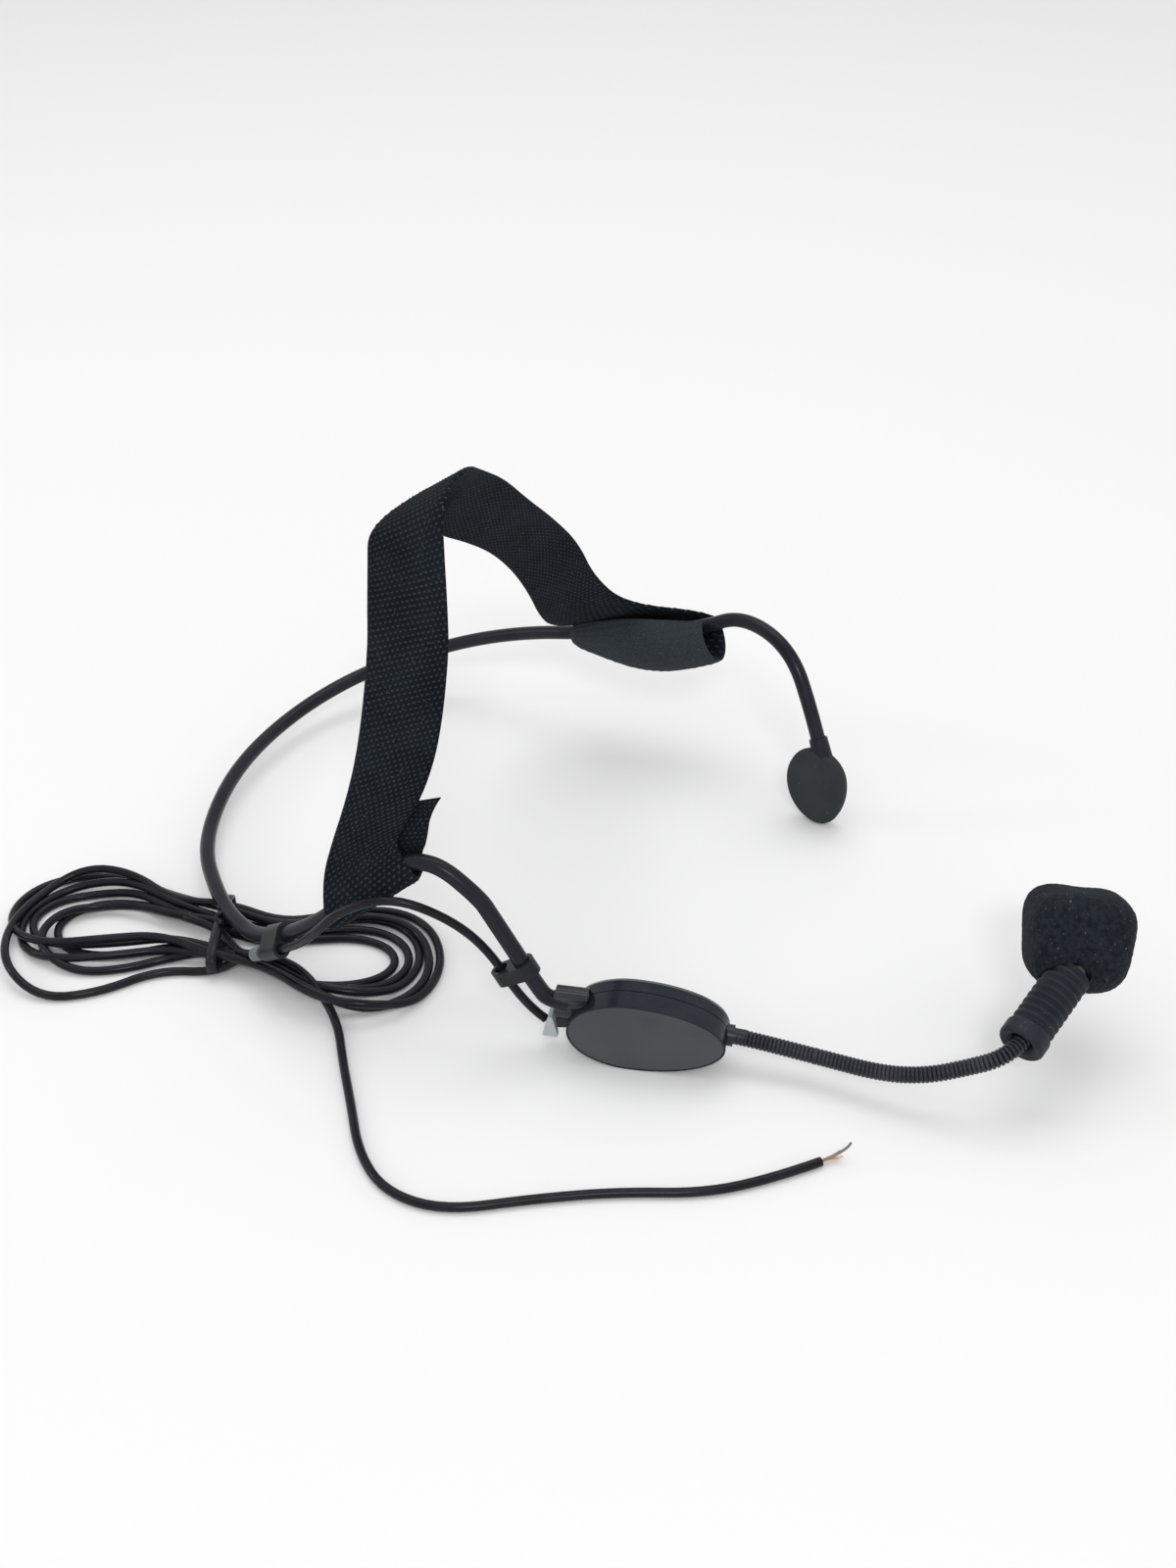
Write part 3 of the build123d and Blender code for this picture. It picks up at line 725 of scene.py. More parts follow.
def round_band(front, back, outside, steps, radii, drop, sags=(0.0, 0.0)):
    """Rows that go round the band, from the outside, underneath and up the inside."""
    rows = []
    for step in steps:
        ends = []
        for place, radius, sag in zip((front, back), radii, sags):
            centre, ahead = nearest_on(band_line, place)
            out = (outside - ahead * outside.dot(ahead)).normalized()
            up = out.cross(ahead)
            if up.z < 0:
                up = -up
            angle = radians(step)
            fall = drop if sin(angle) > 0 else 1.0
            centre = centre - up * sag
            ends.append(centre + out * cos(angle) * radius - up * sin(angle) * radius * fall)
        rows.append(tuple(ends))
    return rows


NEAR_FRONT, NEAR_BACK = mm(-17, -71, 55), mm(-40, -82.3, 33.5)
FAR_FRONT, FAR_BACK = mm(-23.5, 85, 50), mm(-69.5, 75, 37)
near_out = Vector((0.25, -0.95, 0.1))
far_out = Vector((-0.2, 0.97, 0.1))

flap = [
    (mm(-14.3, -62.5, 72.5), mm(-38.0, -68, 62)),
    (mm(-16.6, -64.5, 68.0), mm(-40.0, -70, 57)),
    (mm(-16.4, -67.0, 59.5), mm(-42.5, -75.5, 47)),
]
strap_rows = flap + list(reversed(round_band(
    NEAR_FRONT, NEAR_BACK, near_out, (20, 60, 95, 130, 165, 190), (0.0038, 0.0038), 1.1)))
strap_rows += [
    crosswise((-33.5, -75.6, 51.5), (0.72, 0.33, 0.56)),
    crosswise((-31.5, -71.5, 60.5), (0.84, 0.28, 0.45)),
    crosswise((-30.0, -66.0, 70.0), (0.90, 0.25, 0.36)),
    crosswise((-30, -59.5, 83.0), (0.93, 0.22, 0.29)),
    crosswise((-33.5, -50, 103.0), (0.95, 0.18, 0.25)),
    crosswise((-38.5, -43.5, 114.0), (0.97, 0.13, 0.20)),
    (mm(-30.6, -37, 127), mm(-53.3, -41, 119)),
    (mm(-31.4, -36, 135.5), mm(-54.5, -39, 126)),
    (mm(-32.4, -33, 141), mm(-54.2, -33, 128.5)),
    (mm(-32.9, -29, 144), mm(-53, -24.5, 130)),
    (mm(-32.6, -24, 145), mm(-51.6, -15, 131)),
    (mm(-35.8, -17, 142), mm(-54.0, -9, 124)),
    (mm(-40.5, -9.5, 137.5), mm(-58.2, -8.5, 115)),
    (mm(-43.3, -3, 133.5), mm(-59.5, -4, 110)),
    (mm(-45.8, 8.6, 126), mm(-60.0, 6.8, 103.5)),
    (mm(-47.7, 22.2, 113.5), mm(-62.4, 21.8, 93)),
    (mm(-50.6, 37, 101.3), mm(-64.8, 35, 80.5)),
    (mm(-51, 51, 87), mm(-67.0, 46, 67)),
    (mm(-52.5, 62, 69.5), mm(-72.0, 58.5, 51)),
    (mm(-49, 75, 55), mm(-73.5, 67, 42.5)),
]
strap_rows += round_band(FAR_FRONT, FAR_BACK, far_out, (-30, 10, 50, 85, 120, 155, 190, 220, 245),
                         (0.0078, 0.0036), 1.2, (0.0038, 0.0))
print(len(strap_rows), "strap rows")

# %% [markdown]
# The two edges are smooth lines through those rows. Between them the webbing is a fine grid.
# On the outer face every rib lifts the grid, and along a rib the lift swells and sinks once a
# stitch, with neighbouring ribs half a stitch apart, as in a brick wall. By the far ear the
# folded end is fuller than straight rows can be, so its rows swell away from the band.

# %% Strap mesh
ROWS_PER_RIB = 4
FAR_WRAP, FAR_BELLY = 0.034, 0.75
far_band = [point for point in band_line if point.y > 0.06]
COLUMNS = 35
STITCH = STRAP_WIDTH / 16
RIB_LIFT = 0.00036

front_edge = line_of([row[0] for row in strap_rows], resolution=14)
back_edge = line_of([row[1] for row in strap_rows], resolution=14)
centre_line = [(a + b) / 2 for a, b in zip(front_edge, back_edge)]
strap_length = length_of(centre_line)


def resampled(line, guide, step):
    """A line's points where the guide line has points a fixed step apart."""
    lengths = [0.0]
    for before, after in zip(guide, guide[1:]):
        lengths.append(lengths[-1] + (after - before).length)
    count = round(lengths[-1] / step) + 1
    out, index = [], 0
    for number in range(count):
        wanted = lengths[-1] * number / (count - 1)
        while index < len(line) - 2 and lengths[index + 1] < wanted:
            index += 1
        run = max(lengths[index + 1] - lengths[index], 1e-12)
        out.append(line[index].lerp(line[index + 1], (wanted - lengths[index]) / run))
    return out


strap_step = RIB_PITCH / ROWS_PER_RIB
front_points = resampled(front_edge, centre_line, strap_step)
back_points = resampled(back_edge, centre_line, strap_step)
middle_points = [(a + b) / 2 for a, b in zip(front_points, back_points)]
belly_from = length_of(centre_line) - FAR_WRAP
outer_rows, inner_rows = [], []
for index, (front, back) in enumerate(zip(front_points, back_points)):
    before = middle_points[max(index - 2, 0)]
    after = middle_points[min(index + 2, len(middle_points) - 1)]
    face = (after - before).cross(back - front).normalized()
    along = index * strap_step
    outer, inner = [], []
    for column in range(COLUMNS):
        across = column / (COLUMNS - 1)
        base = front.lerp(back, across)
        full = max(0.0, min(1.0, (along - belly_from) / (0.5 * FAR_WRAP)))
        if full > 0:
            axis = nearest_on(far_band, base)[0]
            base = axis + (base - axis) * (1 + FAR_BELLY * full * sin(pi * across ** 1.25))
        edge = min(across, 1 - across) * STRAP_WIDTH
        rounding = min(1.0, edge / 0.0012)
        body = STRAP_THICK / 2 * (0.35 + 0.65 * sqrt(rounding * (2 - rounding)))
        slant = along + across * STRAP_WIDTH * RIB_SLANT
        rib = 0.5 + 0.5 * cos(2 * pi * slant / RIB_PITCH)
        shift = 0.5 * (int(slant / RIB_PITCH + 0.5) % 2)
        stitch = 0.5 + 0.5 * cos(2 * pi * (across * STRAP_WIDTH / STITCH + shift))
        pull = noise.noise(base * 420) * 0.00006
        lift = RIB_LIFT * rib * (0.45 + 0.55 * stitch) * rounding
        fuzz = (noise.noise(base * 2600) * 0.00008 + pull) * rounding
        outer.append(base + face * (body + lift + pull))
        inner.append(base - face * (body + fuzz))
    outer_rows.append(outer)
    inner_rows.append(inner)
strap_rings = [outer + list(reversed(inner)) for outer, inner in zip(outer_rows, inner_rows)]


def strap_uv(row, column):
    """Metres along and across the webbing."""
    share = column if column < COLUMNS else 2 * COLUMNS - 1 - column
    return row * strap_step, share / (COLUMNS - 1) * STRAP_WIDTH


strap = mesh_piece("head_strap", strap_rings, closed_across=True, cap_ends=True, uv=strap_uv)
outward(strap)
print("strap", round(strap_length, 3), "m,", len(strap.data.polygons), "faces")

# %% [markdown]
# The yarn itself is finer than the mesh, so the finish adds it: threads along and across from
# the UV map, broken up by noise, with a few pale fibre ends that catch the light.

# %% Webbing yarn
webbing_group, inside, outside = group_of(
    "webbing yarn",
    [("UV", "NodeSocketVector", None), ("Rib Pitch", "NodeSocketFloat", RIB_PITCH),
     ("Stitch", "NodeSocketFloat", STITCH), ("Plain From", "NodeSocketFloat", 1.0)],
    [("Height", "NodeSocketFloat"), ("Lit", "NodeSocketFloat")],
)
cut = webbing_group.nodes.new("ShaderNodeSeparateXYZ")
webbing_group.links.new(inside.outputs["UV"], cut.inputs[0])


def yarn_wave(coordinate, spacing_socket, times):
    """A wave from 0 to 1 with a number of threads to each spacing."""
    turns_of = math_node(webbing_group, "DIVIDE", coordinate, spacing_socket)
    turned = math_node(webbing_group, "MULTIPLY", turns_of, 2 * pi * times)
    turned = math_node(webbing_group, "SINE", turned)
    return math_node(webbing_group, "MULTIPLY_ADD", turned, 0.5)


threads_along = yarn_wave(cut.outputs["Y"], inside.outputs["Stitch"], 3)
threads_across = yarn_wave(cut.outputs["X"], inside.outputs["Rib Pitch"], 2)
for wave in (threads_along, threads_across):
    wave.node.inputs[2].default_value = 0.5
fibres = noise_node(webbing_group, inside.outputs["UV"], 3200.0, 4.0, 0.7)
knit = math_node(webbing_group, "MULTIPLY", threads_along, threads_across)
webbing_group.links.new(math_node(webbing_group, "ADD", knit, fibres), outside.inputs["Height"])
glint = math_node(webbing_group, "SUBTRACT", fibres, 0.60, True)
glint = math_node(webbing_group, "MULTIPLY", glint, 5.0)

# %% Webbing dashes, painted crest highlights
# One painted highlight dash for each stitch on a rib's crest, moved half a stitch on every other
# rib.
leaned = math_node(webbing_group, "ADD", cut.outputs["X"],
                   math_node(webbing_group, "MULTIPLY", cut.outputs["Y"], RIB_SLANT))
rib_number = math_node(webbing_group, "DIVIDE", leaned, inside.outputs["Rib Pitch"])
crest = math_node(webbing_group, "COSINE", math_node(webbing_group, "MULTIPLY", rib_number, 2 * pi))
nearest_rib = math_node(webbing_group, "ADD", rib_number, 0.5)
nearest_rib = math_node(webbing_group, "FLOOR", nearest_rib)
odd = math_node(webbing_group, "MODULO", nearest_rib, 2.0)
stitch_number = math_node(webbing_group, "DIVIDE", cut.outputs["Y"], inside.outputs["Stitch"])
stitch_number = math_node(webbing_group, "ADD", stitch_number,
                          math_node(webbing_group, "MULTIPLY", odd, 0.5))
swell = math_node(webbing_group, "MULTIPLY", stitch_number, 2 * pi)
swell = math_node(webbing_group, "COSINE", swell)
crest_highlight = math_node(webbing_group, "MULTIPLY",
                 math_node(webbing_group, "SUBTRACT", crest, 0.1, True),
                 math_node(webbing_group, "ADD", swell, 0.35, True))
crest_highlight = math_node(webbing_group, "MULTIPLY", crest_highlight, fibres)
ribbed_part = math_node(webbing_group, "LESS_THAN", cut.outputs["X"], inside.outputs["Plain From"])
crest_highlight = math_node(webbing_group, "MULTIPLY", crest_highlight, ribbed_part)
# On the plain end, without ribs, the fibre noise is a painted sheen instead.
plain_part = math_node(webbing_group, "SUBTRACT", 1.0, ribbed_part)
fuzz = math_node(webbing_group, "MULTIPLY", fibres, 0.8)
brushed_sheen = math_node(webbing_group, "MULTIPLY", plain_part, fuzz)
lit = math_node(webbing_group, "ADD", glint, crest_highlight, True)
lit = math_node(webbing_group, "ADD", lit, brushed_sheen, True)
webbing_group.links.new(lit, outside.inputs["Lit"])

# %% Webbing finish

PLAIN_END = 0.014
webbing = finish("strap webbing", (0.005, 0.007, 0.010), (0.010, 0.014, 0.019), 0.85, bump=0.3,
                 sheen=0.02, specks=0.35, haze=0.01, specular=0.04)
tree = webbing.node_tree
surface = tree.nodes.new("ShaderNodeUVMap")
surface.uv_map = "surface"
yarn = tree.nodes.new("ShaderNodeGroup")
yarn.node_tree = webbing_group
tree.links.new(surface.outputs["UV"], yarn.inputs["UV"])
yarn.inputs["Plain From"].default_value = strap_length - PLAIN_END
shader = tree.nodes["Principled BSDF"]
tone = shader.inputs["Base Color"].links[0].from_socket
# The Lit mask mixes in a paler colour: painted highlights on fibre ends and rib crests, and a
# painted sheen on the plain end.
tree.links.new(mix_colour(tree, yarn.outputs["Lit"], tone, (0.075, 0.090, 0.100, 1)),
               shader.inputs["Base Color"])
relief = shader.inputs["Normal"].links[0].from_node
tree.links.new(yarn.outputs["Height"], relief.inputs["Height"])
relief.inputs["Strength"].default_value = 0.6
relief.inputs["Distance"].default_value = 0.00015
strap.data.materials.append(webbing)
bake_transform(strap)
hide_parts("strap_span", "strap_loop_near", "strap_loop_far")

# %% [markdown]
# ## The gooseneck
# A gooseneck is one wire wound close round a core, so its skin is a row of thin rings. Geometry
# Nodes puts the rings on a line: the line is resampled once a pitch, each point gets a ring
# turned to the line, and the rings are realized into one mesh. Three such lengths hang
# together.

# %% Ring tree
COIL_PITCH, COIL_WIRE, COIL_R = 0.0011, 0.00062, 0.00168
ring_tree = bpy.data.node_groups.new("rings on a line", "GeometryNodeTree")
for label, kind in (("Line", "NodeSocketGeometry"), ("Pitch", "NodeSocketFloat"),
                    ("Radius", "NodeSocketFloat"), ("Wire", "NodeSocketFloat"),
                    ("Material", "NodeSocketMaterial")):
    ring_tree.interface.new_socket(label, in_out="INPUT", socket_type=kind)
ring_tree.interface.new_socket("Mesh", in_out="OUTPUT", socket_type="NodeSocketGeometry")


def tree_node(kind, **links):
    """A node of the ring tree, with its inputs linked to sockets or set to values."""
    node = ring_tree.nodes.new(kind)
    for label, value in links.items():
        socket = node.inputs[label.replace("_", " ")]
        if isinstance(value, bpy.types.NodeSocket):
            ring_tree.links.new(value, socket)
        else:
            socket.default_value = value
    return node


given = tree_node("NodeGroupInput")
given_out = tree_node("NodeGroupOutput")
spots = ring_tree.nodes.new("GeometryNodeCurveToPoints")
spots.mode = "LENGTH"
ring_tree.links.new(given.outputs["Line"], spots.inputs["Curve"])
ring_tree.links.new(given.outputs["Pitch"], spots.inputs["Length"])
loop = tree_node("GeometryNodeCurvePrimitiveCircle", Resolution=20, Radius=given.outputs["Radius"])
wire = tree_node("GeometryNodeCurvePrimitiveCircle", Resolution=8, Radius=given.outputs["Wire"])
ring = tree_node("GeometryNodeCurveToMesh", Curve=loop.outputs["Curve"],
                 Profile_Curve=wire.outputs["Curve"])
placed = tree_node("GeometryNodeInstanceOnPoints", Points=spots.outputs["Points"],
                   Instance=ring.outputs["Mesh"], Rotation=spots.outputs["Rotation"])
real = tree_node("GeometryNodeRealizeInstances", Geometry=placed.outputs["Instances"])
smooth = tree_node("GeometryNodeSetShadeSmooth", Geometry=real.outputs["Geometry"])
dressed = tree_node("GeometryNodeSetMaterial", Geometry=smooth.outputs["Geometry"],
                    Material=given.outputs["Material"])
ring_tree.links.new(dressed.outputs["Geometry"], given_out.inputs["Mesh"])


def ringed(name, points, material):
    """A gooseneck length: rings along a line, as a mesh object of its own."""
    line = nurbs_curve(name + "_line", points, resolution=12)
    modifier = line.modifiers.new("rings", "NODES")
    modifier.node_group = ring_tree
    values = {"Pitch": COIL_PITCH, "Radius": COIL_R, "Wire": COIL_WIRE, "Material": material}
    for item in ring_tree.interface.items_tree:
        if item.name in values and item.in_out == "INPUT":
            modifier[item.identifier] = values[item.name]
    line.data.update_tag()
    seen = line.evaluated_get(bpy.context.evaluated_depsgraph_get())
    mesh = bpy.data.meshes.new_from_object(seen)
    bpy.data.curves.remove(line.data)
    piece = bpy.data.objects.new(name, mesh)
    bpy.context.scene.collection.objects.link(piece)
    return piece


# %% Gooseneck lengths
HINGES = [mm(64.4, -35.5, 9.8), mm(101, -26.2, 9.4), mm(120.5, -18, 16)]
GOOSE = [mm(59.8, -37.6, 10.2), mm(64.4, -35.5, 9.8), mm(83, -29.2, 8.2), mm(101, -26.2, 9.4),
         mm(112, -23, 12.4), mm(120.5, -18, 16), mm(127.3, -14.4, 19.8), mm(130, -8, 22)]
MIC_FOOT, MIC_AXIS = mm(130, -8, 22), Vector((0.08, 0.955, 0.285)).normalized()
neck_line = line_of(GOOSE + [MIC_FOOT + MIC_AXIS * 0.004], resolution=16)
neck_line = even(neck_line, COIL_PITCH / 2)


def share_near(point):
    """The number of the neck line's sample that is nearest to a point."""
    return min(range(len(neck_line)), key=lambda i: (neck_line[i] - point).length_squared)


breaks = [0, share_near(GOOSE[2]), share_near(GOOSE[4]), len(neck_line) - 1]
for number, label in enumerate(("base", "middle", "tip")):
    low, high = breaks[number], breaks[number + 1]
    length = ringed("coil_" + label, neck_line[low:high + 1:2], coil_steel)
    bend = share_near(HINGES[number])
    reach = min(bend - low, high - bend, 14)
    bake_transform(length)
    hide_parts("gooseneck_" + label)
    print(length.name, len(length.data.polygons), "faces")

# %% [markdown]
# ## The microphone's sleeve
# A rubber grip with a rounded collar at its foot and eight soft ribs. Its outline is one
# function of the distance from the foot, turned round the microphone's axis.

# %% Sleeve
SLEEVE_LENGTH = 0.025
SLEEVE_R, SLEEVE_RIB_R, SLEEVE_COLLAR_R = 0.0050, 0.0059, 0.0063
SLEEVE_BORE_R, CAPSULE_BORE_R = 0.0027, 0.00446
COLLAR_ROUND, COLLAR_END, RIBS_FROM, SLEEVE_RIB_PITCH = 0.0012, 0.0045, 0.0062, 0.00235
SLEEVE_STEP, SLEEVE_SIDES, SEAM = 0.0003, 40, 0.000002


def sleeve_outline(distance):
    """The sleeve's radius at a distance from its foot."""
    if distance < COLLAR_ROUND:
        return SLEEVE_COLLAR_R - 0.0008 * (1 - distance / COLLAR_ROUND) ** 2
    if distance < COLLAR_END:
        return SLEEVE_COLLAR_R
    if distance < RIBS_FROM:
        drop = (distance - COLLAR_END) / (RIBS_FROM - COLLAR_END)
        return SLEEVE_COLLAR_R - (SLEEVE_COLLAR_R - SLEEVE_R) * drop * drop * (3 - 2 * drop)
    wave = 0.5 - 0.5 * cos(2 * pi * (distance - RIBS_FROM) / SLEEVE_RIB_PITCH)
    return SLEEVE_R + (SLEEVE_RIB_R - SLEEVE_R) * min(1.0, wave * 1.3)


foot = MIC_FOOT - MIC_AXIS * 0.001
steps = round((SLEEVE_LENGTH + 0.001) / SLEEVE_STEP)
outer_line = [foot + MIC_AXIS * (step * SLEEVE_STEP) for step in range(steps)]
rings = rings_along(outer_line, sleeve_outline, sides=SLEEVE_SIDES)
top = outer_line[-1]

# %% Sleeve bore
# Rings go back down inside: a wide bore for the capsule, then a narrow one for the gooseneck.
for radius, back in ((0.0050, 0.0), (CAPSULE_BORE_R, 0.0004), (CAPSULE_BORE_R, 0.0052),
                     (SLEEVE_BORE_R, 0.0056), (SLEEVE_BORE_R, SLEEVE_LENGTH - 0.002),
                     (SLEEVE_BORE_R + 0.0004, SLEEVE_LENGTH - 0.0005)):
    rings.append(rings_along([top - MIC_AXIS * back, top - MIC_AXIS * (back - 0.0001)],
                             lambda distance, radius=radius: radius, sides=SLEEVE_SIDES)[0])
rings.append([point.copy() for point in rings[0]])
sleeve = mesh_piece("mic_grip", rings, closed_across=True)
outward(sleeve, merge=SEAM)
sleeve.data.materials.append(sleeve_rubber)
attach(sleeve, "microphone")
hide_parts("mic_sleeve")
print("sleeve", len(sleeve.data.polygons), "faces")

# %% [markdown]
# ## The foam windscreen
# Open-cell foam cut to a soft block and pulled over the capsule. Its corners are full and its
# sides swell a little where the capsule fills it. The mouth round the sleeve is a real hole.

# %% Foam block
FOAM_CENTRE = mm(128.9, 26.9, 32.6)
FOAM_HALF = Vector((0.0140, 0.0120, 0.0135))
FOAM_UP = Vector((-0.17, 0.42, 0.86)).normalized()
FOAM_SIDE = Vector((0.82, 0.57, 0))
FOAM_SIDE = (FOAM_SIDE - FOAM_UP * FOAM_SIDE.dot(FOAM_UP)).normalized()
FOAM_DEEP = FOAM_UP.cross(FOAM_SIDE)
FOAM_POWER, FOAM_CUTS, FOAM_LEAN = 3.4, 47, 0.05
work = bmesh.new()
bmesh.ops.create_cube(work, size=2.0)
bmesh.ops.subdivide_edges(work, edges=work.edges, cuts=FOAM_CUTS, use_grid_fill=True)
for vertex in work.verts:
    way = vertex.co.normalized()
    size = sum(abs(value) ** FOAM_POWER for value in way) ** (-1 / FOAM_POWER)
    soft = way * size
    local = Vector(a * b for a, b in zip(soft, FOAM_HALF))
    lean = 1 + FOAM_LEAN * soft.z
    place = FOAM_CENTRE + FOAM_SIDE * local.x * lean + FOAM_DEEP * local.y + FOAM_UP * local.z
    wander = noise.noise(place * 90) * 0.0007 + noise.noise(place * 1100) * 0.00016
    vertex.co = place + (place - FOAM_CENTRE).normalized() * wander
foam_mesh = bpy.data.meshes.new("foam_windscreen")
work.to_mesh(foam_mesh)
work.free()
foam = bpy.data.objects.new("foam_windscreen", foam_mesh)
bpy.context.scene.collection.objects.link(foam)
outward(foam)

# %% Foam mouth
# Each pair is a distance from the microphone's foot and the hole's radius there.
MOUTH = [(0.008, 0.0066), (0.0211, 0.0062), (0.0212, 0.0061), (0.0245, 0.0061), (0.0247, 0.0055),
         (0.0322, 0.0055)]
mouth_line = [MIC_FOOT + MIC_AXIS * distance for distance, radius in MOUTH]
mouth_radii = iter([radius for distance, radius in MOUTH])
plug_rings = rings_along(mouth_line, lambda distance: next(mouth_radii), sides=36)
plug = mesh_piece("plug", plug_rings, closed_across=True, cap_ends=True)
outward(plug)
add_modifier(foam, "BOOLEAN", operation="DIFFERENCE", object=plug, solver="EXACT")
applied(foam)
bpy.data.objects.remove(plug)
for polygon in foam.data.polygons:
    polygon.use_smooth = True
print("foam", len(foam.data.polygons), "faces")

# %% Foam finish
foam_finish = finish("windscreen foam", (0.008, 0.011, 0.016), (0.019, 0.025, 0.033), 0.95,
                     bump=1.0, fineness=1500, drift_scale=600, sheen=0.04, specks=0.5, haze=0.01,
                     specular=0.06)
foam_finish.node_tree.nodes["Bump"].inputs["Distance"].default_value = 0.0005
foam.data.materials.append(foam_finish)
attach(foam, "windscreen")
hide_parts("windscreen")

# %% [markdown]
# ## The ear pad
# An egg-shaped rubber pad with a flat matte face. Rings go from the middle of the face out to
# the edge, round it and back to the middle behind.

# %% Ear pad
PAD_CENTRE = mm(25.3, 74, 13.6)
PAD_YAW = radians(8)
PAD_SIDE = Vector((cos(PAD_YAW), sin(PAD_YAW), 0))
PAD_OUT = Vector((sin(PAD_YAW), -cos(PAD_YAW), 0))
PAD_TALL, PAD_WIDE, PAD_HALF_THICK, PAD_EDGE = 0.0135, 0.0098, 0.0025, 0.0019
PAD_MEAN_R, PAD_TILT = 0.0115, radians(12)


def pad_ring(share, depth, sides=72):
    """A ring of the pad: a share of its outline at a depth from its middle plane."""
    points = []
    for side in range(sides):
        angle = 2 * pi * side / sides
        across, tall = PAD_WIDE * cos(angle), PAD_TALL * sin(angle)
        across *= 1 + 0.10 * sin(angle) + 0.06 * sin(angle) * cos(angle)
        across, tall = (across * cos(PAD_TILT) - tall * sin(PAD_TILT),
                        across * sin(PAD_TILT) + tall * cos(PAD_TILT))
        flat = PAD_SIDE * across * share + Vector((0, 0, tall * share))
        points.append(PAD_CENTRE + flat + PAD_OUT * depth)
    return points


pad_rows = [pad_ring(share, PAD_HALF_THICK - 0.0003 * share)
            for share in (0.04, 0.3, 0.55, 0.74)]
for step in range(13):
    angle = radians(90 - 15 * step)
    share = 1 - PAD_EDGE / PAD_MEAN_R * (1 - cos(angle))
    pad_rows.append(pad_ring(share, sin(angle) * PAD_EDGE + (0.0005 if step < 6 else -0.0005)))
pad_rows += [pad_ring(share, -PAD_HALF_THICK) for share in (0.6, 0.2, 0.04)]
pad = mesh_piece("ear_cushion", pad_rows, closed_across=True, cap_ends=True)
outward(pad)
pad.data.materials.append(pad_rubber)
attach(pad, "ear_pad")
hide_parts("ear_pad")
print("pad", len(pad.data.polygons), "faces")

# %% [markdown]
# ## The tie
# A flat plastic strip goes once round the waist of the hank. Its loop is measured from the
# strands it holds, so that it lies on them, and its two ends are twisted together on top.

# %% Tie size
TIE_WIDTH, TIE_THICK = 0.0030, 0.0007
waist_across, waist_top = [], 0.0
for spot in cord_line[len(LEAD):]:
    offset = spot - HANK_CENTRE
    if abs(offset.dot(HANK_ALONG) - WAIST / 1000) < 0.002 and spot.z < 0.012:
        across = offset.dot(HANK_ACROSS)
        if -0.014 < across < 0.027:
            waist_across.append(across)
            waist_top = max(waist_top, spot.z + CORD_R)
tie_low, tie_high = min(waist_across) - CORD_R, max(waist_across) + CORD_R
tie_middle = (tie_low + tie_high) / 2
print("tie", round((tie_high - tie_low) * 1000, 1), "mm wide,",
      round(waist_top * 1000, 1), "mm high")

# %% Tie loop
TIE_STEPS, TIE_SQUARENESS = 48, 0.6


def squared(value):
    """A sine or cosine pushed outwards, so that a circle becomes a rounded box."""
    return abs(value) ** TIE_SQUARENESS * (1 if value > 0 else -1)


tie_rows = []
for step in range(TIE_STEPS):
    angle = 2 * pi * step / TIE_STEPS
    across = tie_middle + (tie_high - tie_low) / 2 * 1.01 * squared(cos(angle))
    height = waist_top / 2 + waist_top / 2 * squared(sin(angle))
    place = HANK_CENTRE + HANK_ACROSS * across + HANK_ALONG * WAIST / 1000 + Vector((0, 0, height))
    outwards = (HANK_ACROSS * cos(angle) * 0.6 + Vector((0, 0, sin(angle)))).normalized()
    sunk = 0.0 if sin(angle) > -0.2 else TIE_THICK
    row = []
    for along, out in ((-0.5, 0), (0.5, 0), (0.5, 1), (0.0, 1.25), (-0.5, 1)):
        row.append(place + HANK_ALONG * along * TIE_WIDTH + outwards * (out * TIE_THICK - sunk))
    tie_rows.append(row)
tie_rows.append([point.copy() for point in tie_rows[0]])
tie_loop = mesh_piece("tie_loop", tie_rows, closed_across=True)

# %% Tie twist
TWIST_R, TWIST_TURN = 0.00075, 0.55
twist_base = on_hank(WAIST, 4, waist_top)
twist_line = [
    twist_base + HANK_ACROSS * (step * 0.0004) + HANK_ALONG * 0.0011 * sin(step * TWIST_TURN)
    + Vector((0, 0, TIE_THICK + 0.0006 + 0.0004 * cos(step * TWIST_TURN))) for step in range(22)]
twist_rings = rings_along(
    twist_line, lambda distance: TWIST_R * min(1.0, 0.4 + distance / 0.001), sides=10)
twist = mesh_piece("twist", twist_rings, closed_across=True, cap_ends=True)
tie = joined("cord_tie", [(tie_loop, 0), (twist, 0)])
outward(tie, merge=SEAM)
print("tie", len(tie.data.polygons), "faces")
tie.data.materials.append(tie_plastic)
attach(tie, "headset")
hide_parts("hank_tie")

# %% [markdown]
# ## The stripped end
# The jacket is cut off square at the cord's far end. Out of it come a fan of fine copper
# strands and the thin wire of the screen, curling up.

# %% Copper strands
STRANDS, STRAND_R, SCREEN_R, WIRE_STEP = 9, 0.00011, 0.00035, 0.0005
tip, tip_aim = cord_points[-1], (cord_points[-1] - cord_points[-2]).normalized()


def bare_wire(name, line, radius, sides):
    """A wire of that radius along the smooth line of these points."""
    rings = rings_along(even(line_of(line), WIRE_STEP), lambda distance: radius, sides=sides)
    return mesh_piece(name, rings, closed_across=True, cap_ends=True)


draw = Random(7)
wires = []
for number in range(STRANDS):
    spread = Vector((draw.uniform(-1, 1), draw.uniform(-1, 1), draw.uniform(-0.4, 1.0)))
    reach = 0.0055 + 0.0015 * draw.random()
    line = [tip - tip_aim * 0.001 + spread * 0.0004,
            tip + tip_aim * reach * 0.45 + spread * 0.0006,
            tip + tip_aim * reach * 0.8 + spread * 0.0009,
            tip + tip_aim * reach + spread * 0.0013]
    for spot in line:
        spot.z = max(spot.z, 0.00015)
    wires.append((bare_wire("strand", line, STRAND_R, 6), 0))

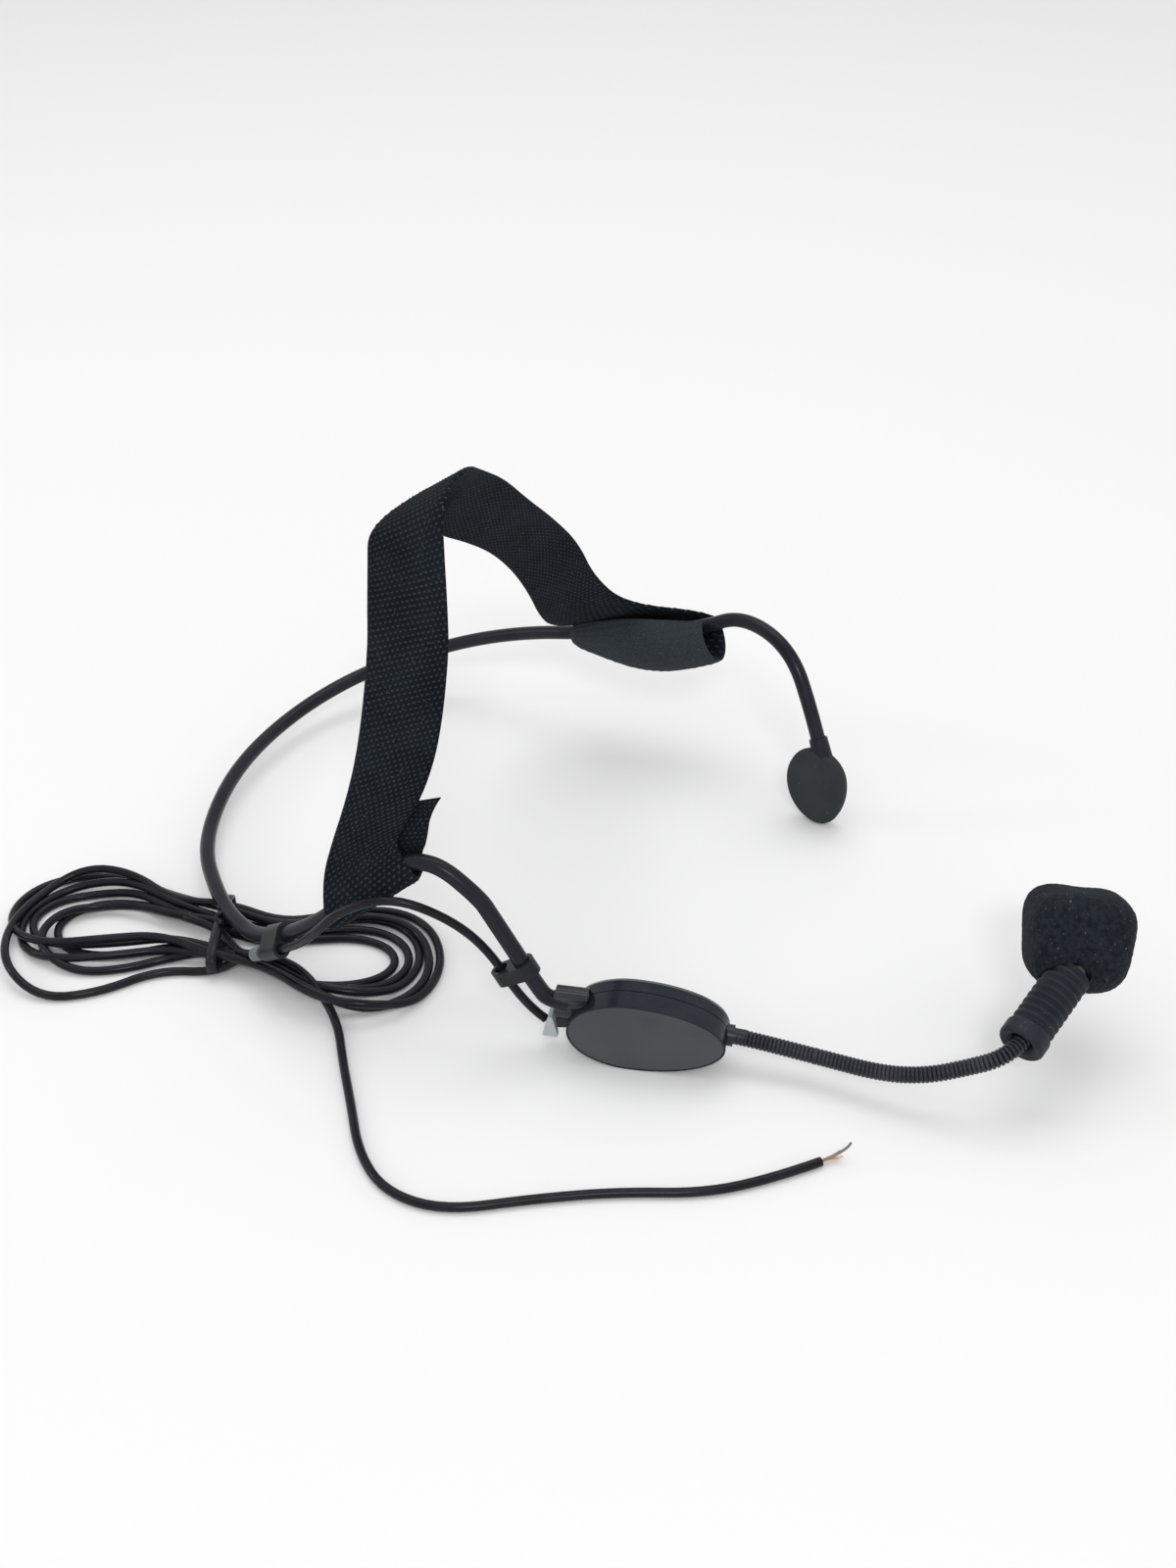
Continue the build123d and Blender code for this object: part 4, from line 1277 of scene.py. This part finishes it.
# %% Screen wire
screen = [
    tip - tip_aim * 0.001,
    tip + tip_aim * 0.003,
    tip + tip_aim * 0.005 + mm(1, 0.5, 2),
    tip + tip_aim * 0.004 + mm(3, 1, 4.5),
    tip + tip_aim * 0.003 + mm(4, 2, 6),
]
wires.append((bare_wire("screen", screen, SCREEN_R, 8), 1))
bare_wires = joined("bare_wires", wires)
outward(bare_wires)
bare_wires.data.materials.append(copper)
bare_wires.data.materials.append(tinned)
print(len(wires), "bare wires")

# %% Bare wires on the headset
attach(bare_wires, "headset")
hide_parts("cord_core")

# %% [markdown]
# ## Floor and light
# A pale floor lies under an even white sky and one wide lamp, which leave only soft shadows.
# Black things are drawn by what they reflect: the sky gives their sheen, and two small lamps
# give short bright glints.

# %% Floor and lamps
floor_mesh = bpy.data.meshes.new("floor")
FLOOR_HALF = 6.0
floor_mesh.from_pydata(
    [(-FLOOR_HALF, -FLOOR_HALF, 0), (FLOOR_HALF, -FLOOR_HALF, 0), (FLOOR_HALF, FLOOR_HALF, 0),
     (-FLOOR_HALF, FLOOR_HALF, 0)], [], [(0, 1, 2, 3)])
floor = bpy.data.objects.new("floor", floor_mesh)
bpy.context.scene.collection.objects.link(floor)
floor_finish = bpy.data.materials.new("pale floor")
floor_finish.use_nodes = True
floor_shader = floor_finish.node_tree.nodes["Principled BSDF"]
floor_shader.inputs["Base Color"].default_value = (0.93, 0.93, 0.93, 1)
floor_shader.inputs["Roughness"].default_value = 0.9
floor_shader.inputs["Specular IOR Level"].default_value = 0.1
floor_mesh.materials.append(floor_finish)


def soft_lamp(name, place, size, power, target=(0, 0, 0.03)):
    """A rectangular area lamp that looks at the object."""
    data = bpy.data.lights.new(name, "AREA")
    data.shape = "RECTANGLE"
    data.size, data.size_y = size
    data.energy = power
    lamp = bpy.data.objects.new(name, data)
    lamp.location = place
    lamp.rotation_euler = (Vector(place) - Vector(target)).to_track_quat("Z", "Y").to_euler()
    bpy.context.scene.collection.objects.link(lamp)
    return lamp


soft_lamp("key lamp", (0.7, -0.9, 1.1), (0.34, 0.24), 4.6)
soft_lamp("top lamp", (-0.3, 0.4, 1.5), (1.2, 0.9), 5.4)
soft_lamp("side lamp", (-1.1, -0.7, 0.6), (0.15, 0.4), 1.2)
world = bpy.data.worlds.new("studio")
bpy.context.scene.world = world
world.use_nodes = True
world.node_tree.nodes["Background"].inputs["Color"].default_value = (1.0, 1.0, 1.0, 1)
world.node_tree.nodes["Background"].inputs["Strength"].default_value = 0.72
bpy.context.scene.view_settings.view_transform = "Standard"

# %% [markdown]
# The soft pieces may stand a little proud of the CAD box.

# %% json import
import json
